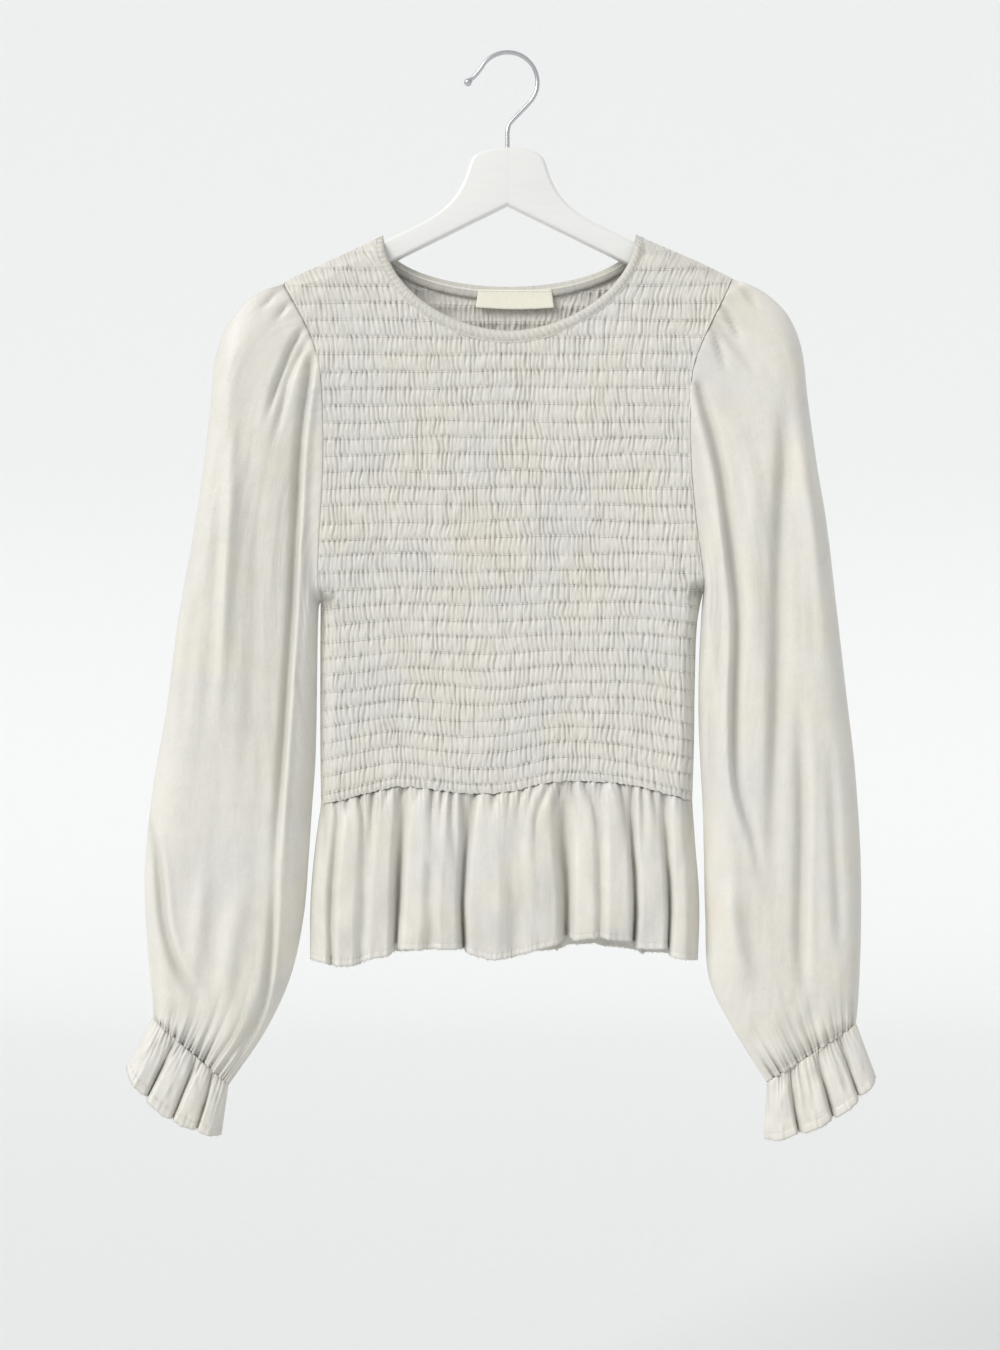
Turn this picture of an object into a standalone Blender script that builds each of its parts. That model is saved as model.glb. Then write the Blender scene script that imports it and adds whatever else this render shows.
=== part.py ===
"""A smocked satin blouse hanging from a white wooden hanger.

The front faces -Y, +X is to a viewer's right and +Z is up. The origin is the top of the inside of the
hanger's hook, where a peg or a rail carries it. Lengths are in millimetres here, and solid_object turns
them into metres. "Down" in a table is the distance below the origin, so z is minus down.
"""
import math
from collections import namedtuple

import bmesh
import bpy
from mathutils import Vector
from mathutils.geometry import delaunay_2d_cdt

MILLIMETRE = 0.001

# Cloth and seams
WALL = 1.8
SEAM_GAP = 0.3
HALF_GAP = SEAM_GAP / 2

# How far the front and back walls of the bodice stand from its middle plane
SHOULDER_HALF_DEPTH = 9.4
BODY_HALF_DEPTH = 11.0
FILL_OUT = 70.0
ROLL = 13.0

# Smocking: elastic rows with puffs of cloth between them
ROW_PITCH_TOP = 13.4
ROW_PITCH_WAIST = 12.2
GATHERS_ACROSS = 18
PUFF_HEIGHT = 1.9
PUFF_VALLEY = 0.7
PUFF_MARGIN = 3.5

# The plain inside of a panel: its lines of points along the rolled edges, their spacing, and the wide
# grid of points elsewhere, as ranges of columns and rows
PLAIN_OFFSETS = (4.0, 8.0, ROLL)
PLAIN_STEP = 13.0
PLAIN_GRID = 34.0
PLAIN_GRID_COLUMNS = (-5, 6)
PLAIN_GRID_ROWS = (4, 19)
PLAIN_MARGIN = 2.5

# Steps along the edges of a bodice panel
NECK_EDGE_STEPS = 26
SHOULDER_STEPS = 8
ARMHOLE_STEPS = 24
SIDE_STEPS = 14

# Neckline: the free edge of the binding, as half of a rounded curve below the shoulder points
NECK_CENTRE = 1.5
NECK_HALF_WIDTH = 98.5
NECK_DROP_FRONT = 76.0
NECK_DROP_BACK = 38.0
NECK_POWER_FRONT = 1.85
NECK_POWER_BACK = 2.0
BINDING_WIDTH = 7.0
BINDING_THICKNESS = 2.4
BINDING_CROWN = 0.9
BINDING_STEPS = 24
NECK_CROWDING = 1.5

# Label, blank, inside the back neck
LABEL_LEFT = -25.5
LABEL_RIGHT = 37.0
LABEL_TOP = -180.5
LABEL_BOTTOM = -198.0
LABEL_THICKNESS = 0.8
LABEL_COLUMNS = 8
LABEL_ROWS = 3

# Sleeves: points on each of the two sheets, the ones within a rolled edge as shares of its width, and the
# rings along a sleeve, which lie closer at both ends
SHEET_STEPS = 20
EDGE_PLACES = (0.0, 0.28, 0.62, 1.0)
NARROW_ROLL = 0.16
SLEEVE_RINGS = 19
RINGS_TO_WRIST = 1.15
RINGS_TO_HEAD = 1.35
HEAD_RING_SHARE = 0.7

# Gathers at both ends of a sleeve, and the shares of its length that the head's form reaches down
HEAD_PLEAT = 2.2
HEAD_PLEAT_REACH = 0.26
HEAD_CROWDING = 1.5
HEAD_CROWDING_REACH = 0.5
ARMHOLE_BOW_REACH = 0.30
SEAM_DEPTH_REACH = 0.10
WRIST_GATHER = 1.9
WRIST_GATHER_FROM = 0.80
WRIST_GATHER_REACH = 0.16

# Wrist ruffles: how far their seam stands out past the cuff's corners, then their flutes
RUFFLE_STEPS = 16
RUFFLE_RINGS = 5
RUFFLE_OUTER_SHIFT = 0.1
RUFFLE_INNER_SHIFT = 0.25
RUFFLE_EVENNESS = 0.6
RUFFLE_BOW = 9.0
RUFFLE_HALF_DEPTH = 11.0
RUFFLE_WAVE = 4.5
RUFFLE_HALF_WAVES = 7.0

# Peplum: rows of points, the points next to its side seams, the widest and the narrowest spacing between
# columns, and how quickly ridges and valleys grow below the waist
PEPLUM_ROWS = 5
PEPLUM_EDGE_PLACES = (0.0, 4.0, 9.0)
PEPLUM_WIDEST = 14.0
PEPLUM_NARROWEST = 2.2
PEPLUM_RIDGE = 17.0
PEPLUM_RIDGE_GROWTH = 0.7
PEPLUM_VALLEY_GROWTH = 0.6
PEPLUM_GATHER = 1.4

# Hanger
HANGER_HALF_THICKNESS = 5.5
HANGER_ROUNDING = 3.0
HANGER_ROUNDING_STEPS = 2
SHARP_ANGLE = 40.0
SHANK_HOLE_RADIUS = 2.0
SHANK_HOLE_SIDES = 12
SHANK_HOLE_CUTTER = 40.0
SHANK_BOTTOM = -98.0
WIRE_RADIUS = 1.7
HOOK_RADIUS = 23.4
HOOK_FROM_DEGREES = -42
HOOK_TO_DEGREES = 161
HOOK_STEP_DEGREES = 13
BEAD_SWELL = 1.75
BEAD_END_SWELL = 0.8 * BEAD_SWELL

EdgeRow = namedtuple("EdgeRow", "down x")
WaistRow = namedtuple("WaistRow", "x down")
SleeveRow = namedtuple("SleeveRow", "along outer_x outer_down inner_x inner_down half_depth")
FoldRow = namedtuple("FoldRow", "start end first last height half_width")
ValleyRow = namedtuple("ValleyRow", "x half_width depth")
HangerRow = namedtuple("HangerRow", "x z")
WireRow = namedtuple("WireRow", "x z swell")

SHOULDER_LEFT = [(-97.0, -141.5), (-139.0, -161.0), (-166.0, -173.2), (-175.0, -178.5)]
SHOULDER_RIGHT = [(100.0, -140.8), (152.0, -163.0), (175.0, -174.5)]

ARMHOLE_LEFT = [
    EdgeRow(178.5, -175.0), EdgeRow(196.0, -165.0), EdgeRow(216.0, -154.5), EdgeRow(234.0, -148.0),
    EdgeRow(253.0, -144.5), EdgeRow(285.0, -143.0), EdgeRow(324.0, -143.0), EdgeRow(380.0, -146.0),
    EdgeRow(408.0, -146.8), EdgeRow(427.0, -145.8),
]
ARMHOLE_RIGHT = [
    EdgeRow(174.5, 175.0), EdgeRow(192.0, 167.0), EdgeRow(210.0, 158.0), EdgeRow(232.0, 148.0),
    EdgeRow(252.0, 142.5), EdgeRow(285.0, 141.3), EdgeRow(324.0, 142.3), EdgeRow(366.0, 146.0),
    EdgeRow(394.0, 150.0), EdgeRow(419.0, 152.5),
]
SIDE_LEFT = [EdgeRow(427.0, -145.8), EdgeRow(465.0, -146.0), EdgeRow(543.0, -146.0), EdgeRow(585.0, -145.5)]
SIDE_RIGHT = [
    EdgeRow(419.0, 152.5), EdgeRow(441.0, 148.0), EdgeRow(491.0, 146.0), EdgeRow(535.0, 145.5),
    EdgeRow(582.0, 144.0),
]
WAIST = [
    WaistRow(-145.5, 585.0), WaistRow(-127.0, 580.5), WaistRow(-106.0, 575.0), WaistRow(-84.0, 570.5),
    WaistRow(-57.0, 573.0), WaistRow(-29.0, 576.0), WaistRow(-2.0, 575.0), WaistRow(18.0, 570.5),
    WaistRow(37.0, 566.5), WaistRow(64.0, 566.5), WaistRow(94.0, 569.0), WaistRow(119.0, 575.0),
    WaistRow(144.0, 582.0),
]
PEPLUM_LEFT = [
    EdgeRow(585.3, -145.5), EdgeRow(613.0, -149.5), EdgeRow(642.0, -152.5), EdgeRow(669.0, -154.0),
    EdgeRow(705.0, -154.0),
]
PEPLUM_RIGHT = [
    EdgeRow(582.3, 144.0), EdgeRow(618.0, 146.5), EdgeRow(648.0, 149.0), EdgeRow(671.0, 149.6),
    EdgeRow(706.0, 148.5),
]
HEM_FRONT = [
    WaistRow(-154.0, 705.0), WaistRow(-127.0, 708.5), WaistRow(-95.0, 700.5), WaistRow(-87.0, 692.0),
    WaistRow(-79.0, 696.0), WaistRow(-37.0, 695.8), WaistRow(-29.0, 698.0), WaistRow(-14.0, 704.0),
    WaistRow(12.0, 699.5), WaistRow(34.0, 691.5), WaistRow(44.0, 686.5), WaistRow(56.0, 689.0),
    WaistRow(70.0, 687.0), WaistRow(96.0, 691.5), WaistRow(101.0, 695.5), WaistRow(124.0, 696.0),
    WaistRow(129.0, 701.5), WaistRow(148.5, 706.0),
]
HEM_BACK = [
    WaistRow(-154.0, 705.0), WaistRow(-118.0, 699.0), WaistRow(-80.0, 702.0), WaistRow(-45.0, 697.5),
    WaistRow(-8.0, 706.0), WaistRow(22.0, 702.0), WaistRow(60.0, 696.0), WaistRow(102.0, 701.0),
    WaistRow(148.5, 706.0),
]
PEPLUM_VALLEYS_FRONT = [
    ValleyRow(-137.0, 8.0, 6.0), ValleyRow(-112.0, 9.0, 4.0), ValleyRow(-86.5, 10.0, 10.5),
    ValleyRow(-60.0, 10.0, 3.5), ValleyRow(-34.0, 9.0, 10.0), ValleyRow(4.0, 14.0, 3.5),
    ValleyRow(44.0, 13.0, 11.0), ValleyRow(72.0, 8.0, 4.5), ValleyRow(97.5, 8.0, 9.5),
    ValleyRow(124.5, 8.0, 8.5),
]
PEPLUM_VALLEYS_BACK = [
    ValleyRow(-128.0, 9.0, 7.0), ValleyRow(-97.0, 10.0, 9.5), ValleyRow(-63.0, 9.0, 5.0),
    ValleyRow(-27.0, 12.0, 10.5), ValleyRow(12.0, 9.0, 4.5), ValleyRow(41.0, 10.0, 9.0),
    ValleyRow(76.0, 9.0, 5.5), ValleyRow(106.0, 10.0, 10.0), ValleyRow(132.0, 7.0, 5.0),
]

# Each row is one cross-section, from the outer edge of the sleeve to the edge beside the bodice
SLEEVE_LEFT = [
    SleeveRow(0.000, -175.5, 178.7, -146.3, 427.2, 10.0),
    SleeveRow(0.032, -200.0, 190.0, -147.2, 432.0, 13.0),
    SleeveRow(0.067, -218.0, 210.0, -147.6, 440.0, 14.5),
    SleeveRow(0.108, -227.6, 236.0, -148.0, 452.0, 15.5),
    SleeveRow(0.170, -232.0, 277.0, -148.3, 470.0, 16.0),
    SleeveRow(0.245, -238.0, 328.0, -148.6, 495.0, 16.5),
    SleeveRow(0.324, -246.0, 379.0, -149.0, 522.0, 17.0),
    SleeveRow(0.420, -257.0, 441.0, -150.0, 554.0, 17.5),
    SleeveRow(0.525, -266.0, 510.0, -152.6, 590.0, 18.0),
    SleeveRow(0.627, -277.0, 575.0, -155.2, 628.0, 18.0),
    SleeveRow(0.733, -283.0, 640.0, -159.0, 672.0, 18.0),
    SleeveRow(0.838, -280.5, 700.0, -169.5, 720.0, 17.0),
    SleeveRow(0.919, -277.0, 736.0, -189.0, 762.0, 14.0),
    SleeveRow(1.000, -276.5, 751.8, -217.2, 803.2, 7.5),
]
SLEEVE_RIGHT = [
    SleeveRow(0.000, 175.5, 174.7, 153.0, 419.3, 10.0),
    SleeveRow(0.032, 200.0, 186.0, 152.8, 426.0, 13.0),
    SleeveRow(0.067, 218.0, 202.5, 151.4, 437.0, 14.5),
    SleeveRow(0.108, 229.0, 228.0, 150.4, 452.0, 15.5),
    SleeveRow(0.170, 234.5, 271.0, 149.4, 471.0, 16.0),
    SleeveRow(0.245, 241.5, 321.0, 148.9, 496.0, 16.5),
    SleeveRow(0.324, 249.0, 366.0, 149.0, 522.0, 17.0),
    SleeveRow(0.420, 256.5, 430.0, 150.4, 554.0, 17.5),
    SleeveRow(0.525, 264.5, 500.0, 152.3, 590.0, 18.0),
    SleeveRow(0.627, 271.0, 557.0, 153.2, 628.0, 18.0),
    SleeveRow(0.733, 275.3, 622.0, 154.2, 672.0, 18.0),
    SleeveRow(0.838, 275.8, 680.0, 157.5, 722.0, 17.0),
    SleeveRow(0.919, 274.0, 731.0, 176.0, 760.0, 14.0),
    SleeveRow(1.000, 271.8, 756.4, 202.0, 801.7, 7.5),
]
# Long soft ridges: place across the sleeve where they start and end, stretch along it, height and width
FOLDS_LEFT = [
    FoldRow(0.18, 0.26, 0.04, 0.80, 3.0, 0.10),
    FoldRow(0.50, 0.56, 0.10, 0.95, 2.6, 0.13),
    FoldRow(0.84, 0.90, 0.06, 0.92, 3.2, 0.09),
]
FOLDS_RIGHT = [
    FoldRow(0.14, 0.20, 0.05, 0.85, 2.8, 0.09),
    FoldRow(0.42, 0.44, 0.08, 0.95, 3.4, 0.12),
    FoldRow(0.80, 0.84, 0.06, 0.90, 2.6, 0.12),
]
# The free edge of each wrist ruffle, at its outer and its inner corner
RUFFLE_LEFT_CORNERS = ((-297.0, -789.0), (-223.0, -842.0))
RUFFLE_RIGHT_CORNERS = ((287.0, -796.0), (200.0, -845.0))

# The upper edge of one arm of the hanger, out from the middle, then its rounded tip
HANGER_TOP = [
    HangerRow(9.0, -73.4), HangerRow(18.0, -75.4), HangerRow(25.0, -78.4), HangerRow(28.6, -82.6),
    HangerRow(31.4, -91.0), HangerRow(35.5, -101.5), HangerRow(41.5, -111.2), HangerRow(50.5, -120.6),
    HangerRow(62.5, -129.0), HangerRow(78.0, -136.8), HangerRow(95.6, -145.4),
]
HANGER_TIP = [
    HangerRow(187.0, -190.1), HangerRow(194.0, -194.2), HangerRow(199.0, -199.4), HangerRow(200.6, -205.6),
    HangerRow(198.0, -211.0), HangerRow(191.5, -212.4),
]
HANGER_CROWN = -72.9
HANGER_FORK = -118.3

# The hook's wire below its round part, up from the foot of the shank, and above it, down to the bead
SHANK_ROUTE = [
    WireRow(0.0, SHANK_BOTTOM, 1.0), WireRow(0.0, -84.0, 1.0), WireRow(0.0, -70.0, 1.0),
    WireRow(0.0, -61.0, 1.0), WireRow(0.5, -57.0, 1.0), WireRow(2.2, -53.4, 1.0), WireRow(7.0, -48.2, 1.0),
    WireRow(12.5, -42.6, 1.0),
]
BEAD_ROUTE = [
    WireRow(-25.4, -16.6, 1.0), WireRow(-28.4, -19.4, 1.0), WireRow(-29.6, -20.5, BEAD_END_SWELL),
    WireRow(-31.2, -22.0, BEAD_SWELL), WireRow(-32.8, -23.5, BEAD_END_SWELL),
]

CLOTH_COLOUR = (0.66, 0.65, 0.58, 1.0)
BINDING_COLOUR = (0.62, 0.61, 0.54, 1.0)
LABEL_COLOUR = (0.80, 0.76, 0.64, 1.0)
PAINT_COLOUR = (0.88, 0.88, 0.86, 1.0)
STEEL_COLOUR = (0.55, 0.56, 0.58, 1.0)


def rise(distance, run):
    """Return 0 at an edge and 1 from one run inwards, on a quarter of a sine."""
    return math.sin(0.5 * math.pi * min(max(distance / run, 0.0), 1.0))


def ease(amount):
    """Return a smooth step from 0 to 1."""
    amount = min(max(amount, 0.0), 1.0)
    return amount * amount * (3.0 - 2.0 * amount)


def mix(first, second, amount):
    """Return the value that lies an amount of the way from the first to the second."""
    return first + (second - first) * amount


def read_table(rows, key, column, at):
    """Read a column of a table at a key, on a smooth curve through its rows."""
    keys = [getattr(row, key) for row in rows]
    values = [getattr(row, column) for row in rows]
    last = len(rows) - 1
    at = min(max(at, keys[0]), keys[last])
    start = max(index for index in range(last) if keys[index] <= at)
    span = keys[start + 1] - keys[start]
    slopes = []
    for index in (start, start + 1):
        before = max(index - 1, 0)
        after = min(index + 1, last)
        slopes.append(span * (values[after] - values[before]) / (keys[after] - keys[before]))
    t = (at - keys[start]) / span
    here = (2 * t**3 - 3 * t**2 + 1) * values[start] + (3 * t**2 - 2 * t**3) * values[start + 1]
    return here + (t**3 - 2 * t**2 + t) * slopes[0] + (t**3 - t**2) * slopes[1]


def edge_points(rows, steps):
    """Return evenly spaced points down a table's edge, as x and z."""
    top = rows[0].down
    bottom = rows[-1].down
    downs = [mix(top, bottom, step / steps) for step in range(steps + 1)]
    return [(read_table(rows, "down", "x", down), -down) for down in downs]


def along_line(points, x):
    """Return the height of a shoulder line at an x."""
    for (x0, z0), (x1, z1) in zip(points, points[1:]):
        if min(x0, x1) <= x <= max(x0, x1):
            return mix(z0, z1, (x - x0) / (x1 - x0))
    return points[0][1] if abs(x) < abs(points[0][0]) else points[-1][1]


def line_points(points, first_x, last_x, steps):
    """Return evenly spaced points along a shoulder line, as x and z."""
    xs = [mix(first_x, last_x, step / steps) for step in range(steps + 1)]
    return [(x, along_line(points, x)) for x in xs]


def distance_to(points, x, z):
    """Return the distance from a place to a line of points."""
    best = math.inf
    for (x0, z0), (x1, z1) in zip(points, points[1:]):
        run = (x1 - x0) ** 2 + (z1 - z0) ** 2
        t = min(max(((x - x0) * (x1 - x0) + (z - z0) * (z1 - z0)) / run, 0.0), 1.0)
        best = min(best, math.hypot(x - mix(x0, x1, t), z - mix(z0, z1, t)))
    return best


SIDE_LINES = (edge_points(SIDE_LEFT, 6), edge_points(SIDE_RIGHT, 6))


def body_depth(x, z):
    """Return how far a bodice wall's inside stands from the middle plane."""
    shoulder = min(distance_to(SHOULDER_LEFT, x, z), distance_to(SHOULDER_RIGHT, x, z))
    side = min(distance_to(line, x, z) for line in SIDE_LINES)
    full = mix(SHOULDER_HALF_DEPTH, BODY_HALF_DEPTH, ease((shoulder - ROLL) / FILL_OUT))
    return HALF_GAP + full * rise(min(shoulder, side), ROLL)


def neck_point(face, t, outward):
    """Return a point of the neckline, from the left shoulder (t = 0) to the right one (t = 1)."""
    drop = NECK_DROP_FRONT if face < 0 else NECK_DROP_BACK
    power = 2.0 / (NECK_POWER_FRONT if face < 0 else NECK_POWER_BACK)
    angle = math.pi * t
    swing = math.copysign(abs(math.cos(angle)) ** power, math.cos(angle))
    x = NECK_CENTRE - (NECK_HALF_WIDTH + outward) * swing
    left = along_line(SHOULDER_LEFT, NECK_CENTRE - NECK_HALF_WIDTH - outward)
    right = along_line(SHOULDER_RIGHT, NECK_CENTRE + NECK_HALF_WIDTH + outward)
    level = mix(left, right, (1.0 - swing) / 2.0)
    return x, level - (drop + outward) * max(math.sin(angle), 0.0) ** power


def neck_steps(count):
    """Return places along the neckline that crowd towards both shoulders."""
    places = []
    for index in range(count + 1):
        u = index / count
        near = 0.5 * (2.0 * min(u, 1.0 - u)) ** NECK_CROWDING
        places.append(near if u < 0.5 else 1.0 - near)
    return places


def material(name, colour, roughness, metallic=0.0):
    """Return a Principled BSDF material, making it if it isn't there yet."""
    found = bpy.data.materials.get(name)
    if found:
        return found
    made = bpy.data.materials.new(name)
    made.use_nodes = True
    shader = made.node_tree.nodes["Principled BSDF"]
    shader.inputs["Base Color"].default_value = colour
    shader.inputs["Roughness"].default_value = roughness
    shader.inputs["Metallic"].default_value = metallic
    made.diffuse_color = colour
    return made


def cloth():
    """Return the satin cloth's material."""
    return material("satin", CLOTH_COLOUR, 0.5)


def solid_object(name, points, faces, surface):
    """Make one closed object from points in millimetres and faces, with its faces pointing out."""
    shape = bmesh.new()
    corners = [shape.verts.new(Vector(point) * MILLIMETRE) for point in points]
    for face in faces:
        shape.faces.new([corners[index] for index in face])
    bmesh.ops.recalc_face_normals(shape, faces=shape.faces[:])
    mesh = bpy.data.meshes.new(name)
    shape.to_mesh(mesh)
    shape.free()
    mesh.shade_smooth()
    mesh.materials.append(surface)
    made = bpy.data.objects.new(name, mesh)
    bpy.context.scene.collection.objects.link(made)
    return made


def triangulated(outline, inside):
    """Return triangles over an outline and the places inside it, as indices into outline + inside."""
    places = [Vector(place) for place in outline + inside]
    border = list(range(len(outline)))
    found = delaunay_2d_cdt(places, [], [border], 1, 1e-5)
    origin = [sources[0] for sources in found[3]]
    return [[origin[index] for index in face] for face in found[2]]


def inside_outline(outline, x, z):
    """Tell whether a place lies within a closed outline."""
    hits = False
    for (x0, z0), (x1, z1) in zip(outline, outline[1:] + outline[:1]):
        if (z0 > z) != (z1 > z) and x < x0 + (z - z0) * (x1 - x0) / (z1 - z0):
            hits = not hits
    return hits


def waist_places(face):
    """Return where the waist seam's points lie, which both sides of the seam share."""
    columns = peplum_columns(PEPLUM_VALLEYS_FRONT if face < 0 else PEPLUM_VALLEYS_BACK)
    return [
        mix(WAIST[0].x, WAIST[-1].x, (column - columns[0]) / (columns[-1] - columns[0]))
        for column in columns
    ]


def bodice_outline(face):
    """Return the outline of the front (-1) or back (1) panel, once round from the left of the neck."""
    neck = [neck_point(face, t, BINDING_WIDTH + SEAM_GAP) for t in neck_steps(NECK_EDGE_STEPS)]
    left = line_points(SHOULDER_LEFT, neck[0][0], SHOULDER_LEFT[-1][0], SHOULDER_STEPS)
    right = line_points(SHOULDER_RIGHT, SHOULDER_RIGHT[-1][0], neck[-1][0], SHOULDER_STEPS)
    round_trip = [left, edge_points(ARMHOLE_LEFT, ARMHOLE_STEPS), edge_points(SIDE_LEFT, SIDE_STEPS)]
    round_trip.append([(x, -read_table(WAIST, "x", "down", x)) for x in waist_places(face)])
    round_trip.append(edge_points(SIDE_RIGHT, SIDE_STEPS)[::-1])
    round_trip.append(edge_points(ARMHOLE_RIGHT, ARMHOLE_STEPS)[::-1])
    round_trip += [right, neck[::-1]]
    return [point for stretch in round_trip for point in stretch[:-1]]


def smocked_places(outline):
    """Return the places of the elastic rows and of the puffs between them, with their heights."""
    closed = outline + outline[:1]
    left = min(x for x, z in outline)
    width = max(x for x, z in outline) - left
    top = max(z for x, z in outline)
    bottom = min(z for x, z in outline)
    pitch_across = width / GATHERS_ACROSS
    places = []
    row = 0
    z = top - ROW_PITCH_TOP
    while z > bottom:
        pitch = mix(ROW_PITCH_TOP, ROW_PITCH_WAIST, (top - z) / (top - bottom))
        shift = 0.5 * (row % 2)
        for column in range(GATHERS_ACROSS + 1):
            x = left + (column + shift) * pitch_across
            places.append((x, z, 0.0))
            places.append((x, z + pitch / 2, PUFF_VALLEY))
            places.append((x + pitch_across / 2, z + pitch / 2, PUFF_HEIGHT))
        row += 1
        z -= pitch
    return [
        place for place in places
        if inside_outline(outline, place[0], place[1])
        and distance_to(closed, place[0], place[1]) > PUFF_MARGIN
    ]


def plain_places(outline):
    """Return the places for a panel's plain inside: close along its rolled edges, wide elsewhere."""
    closed = outline + outline[:1]
    lines = [SHOULDER_LEFT, SHOULDER_RIGHT, SIDE_LINES[0], SIDE_LINES[1]]
    places = []
    for offset in PLAIN_OFFSETS:
        for line in lines:
            for (x0, z0), (x1, z1) in zip(line, line[1:]):
                run = math.hypot(x1 - x0, z1 - z0)
                steps = math.ceil(run / PLAIN_STEP)
                for step in range(steps + 1):
                    x = mix(x0, x1, step / steps)
                    z = mix(z0, z1, step / steps)
                    aside_x = offset * (z0 - z1) / run
                    aside_z = offset * (x1 - x0) / run
                    places += [(x - aside_x, z - aside_z), (x + aside_x, z + aside_z)]
    for column in range(*PLAIN_GRID_COLUMNS):
        for row in range(*PLAIN_GRID_ROWS):
            place = (column * PLAIN_GRID, -row * PLAIN_GRID)
            if min(distance_to(line, *place) for line in lines) > ROLL + 3 * PLAIN_MARGIN:
                places.append(place)
    kept = []
    for x, z in places:
        clear = all(math.hypot(x - a, z - b) > PLAIN_MARGIN for a, b in kept)
        if clear and inside_outline(outline, x, z) and distance_to(closed, x, z) > PLAIN_MARGIN:
            kept.append((x, z))
    return kept


def add_bodice(name, face):
    """Make a smocked panel: puffs on its outside, a plain inside and a rim all round."""
    outline = bodice_outline(face)
    raised = smocked_places(outline)
    plain = plain_places(outline)
    count = len(outline)
    outer = [(x, face * (body_depth(x, z) + WALL), z) for x, z in outline]
    outer += [(x, face * (body_depth(x, z) + WALL + lift), z) for x, z, lift in raised]
    inner = [(x, face * body_depth(x, z), z) for x, z in outline + plain]
    shift = len(outer)
    faces = triangulated(outline, [(x, z) for x, z, lift in raised])
    faces += [[index + shift for index in face_corners] for face_corners in triangulated(outline, plain)]
    for index in range(count):
        after = (index + 1) % count
        faces.append([index, after, after + shift, index + shift])
    solid_object(name, outer + inner, faces, cloth())


def add_neck_binding():
    """Make the rounded band round the whole neck, over both shoulder seams."""
    steps = neck_steps(BINDING_STEPS)
    stations = [(-1, t) for t in steps] + [(1, t) for t in steps[-2:0:-1]]
    widths = (0.0, BINDING_WIDTH / 2, BINDING_WIDTH)
    crowns = (0.0, BINDING_CROWN, 0.0)
    points = []
    for face, t in stations:
        on_top = t in (0.0, 1.0)
        places = [neck_point(face, t, width) for width in widths]
        for (x, z), crown in zip(places, crowns):
            lift = BINDING_THICKNESS + crown
            points.append((x, 0.0, z) if on_top else (x, face * (body_depth(x, z) + lift), z))
        for x, z in (places[2], places[0]):
            points.append((x, 0.0, z - BINDING_THICKNESS) if on_top else (x, face * body_depth(x, z), z))
    sides = len(widths) + 2
    solid_object("neck_binding", points, ring_faces(len(stations), sides, closed=True),
                 material("satin_binding", BINDING_COLOUR, 0.55))


def ring_faces(rings, sides, closed):
    """Return the quads that join rings of points one after another, with ends or in a closed loop."""
    faces = []
    for ring in range(rings if closed else rings - 1):
        after = (ring + 1) % rings
        for side in range(sides):
            beside = (side + 1) % sides
            near = [ring * sides + side, ring * sides + beside]
            far = [after * sides + beside, after * sides + side]
            faces.append(near + far)
    return faces


def add_label():
    """Make the blank label, which lies on the inside of the back binding."""
    grid = [
        (mix(LABEL_LEFT, LABEL_RIGHT, column / LABEL_COLUMNS), mix(LABEL_TOP, LABEL_BOTTOM, row / LABEL_ROWS))
        for row in range(LABEL_ROWS + 1) for column in range(LABEL_COLUMNS + 1)
    ]
    back = [(x, body_depth(x, z) - SEAM_GAP, z) for x, z in grid]
    front = [(x, body_depth(x, z) - SEAM_GAP - LABEL_THICKNESS, z) for x, z in grid]
    faces = sheet_faces(LABEL_COLUMNS, LABEL_ROWS, 0) + sheet_faces(LABEL_COLUMNS, LABEL_ROWS, len(grid))
    faces += border_faces(LABEL_COLUMNS, LABEL_ROWS, len(grid))
    solid_object("neck_label", back + front, faces, material("label_tape", LABEL_COLOUR, 0.8))


def sheet_faces(columns, rows, shift):
    """Return the quads of a grid of points that starts at an index."""
    wide = columns + 1
    return [
        [shift + row * wide + column, shift + row * wide + column + 1,
         shift + (row + 1) * wide + column + 1, shift + (row + 1) * wide + column]
        for row in range(rows) for column in range(columns)
    ]


def border_faces(columns, rows, shift):
    """Return the quads that join the borders of two equal grids."""
    wide = columns + 1
    border = list(range(columns))
    border += [row * wide + columns for row in range(rows)]
    border += [rows * wide + column for column in range(columns, 0, -1)]
    border += [row * wide for row in range(rows, 0, -1)]
    following = border[1:] + border[:1]
    return [[here, after, after + shift, here + shift] for here, after in zip(border, following)]


def armhole_bow(armhole, fraction):
    """Return how far the armhole seam lies from the straight line between its ends."""
    top = armhole[0]
    bottom = armhole[-1]
    down = mix(top.down, bottom.down, fraction)
    return read_table(armhole, "down", "x", down) - mix(top.x, bottom.x, fraction)


def across_places(length, along):
    """Return places across one sheet of a sleeve, close together at its rolled edges."""
    edge = min(ROLL, NARROW_ROLL * length)
    places = [share * edge for share in EDGE_PLACES]
    middle = SHEET_STEPS - 2 * (len(EDGE_PLACES) - 1)
    crowding = mix(HEAD_CROWDING, 1.0, ease(along / HEAD_CROWDING_REACH))
    places += [edge + (length - 2 * edge) * (step / middle) ** crowding for step in range(1, middle)]
    places += [length - share * edge for share in reversed(EDGE_PLACES)]
    return places


def fold_height(folds, fraction, along):
    """Return how far the sleeve's long soft ridges stand up at a place."""
    height = 0.0
    for fold in folds:
        reach = (along - fold.first) / (fold.last - fold.first)
        if 0.0 < reach < 1.0:
            away = (fraction - mix(fold.start, fold.end, reach)) / fold.half_width
            height += fold.height * math.exp(-away * away) * math.sin(math.pi * reach) ** 0.5
    return height


def sheet_indices(inside):
    """Return which places across a sheet a ring uses: all outside, fewer in the middle of the inside."""
    if not inside:
        return list(range(SHEET_STEPS + 1))
    rolled = list(range(len(EDGE_PLACES) - 1))
    middle = list(range(len(rolled), SHEET_STEPS - len(rolled) + 1, 2))
    return rolled + middle + [SHEET_STEPS - index for index in reversed(rolled)]


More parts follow.
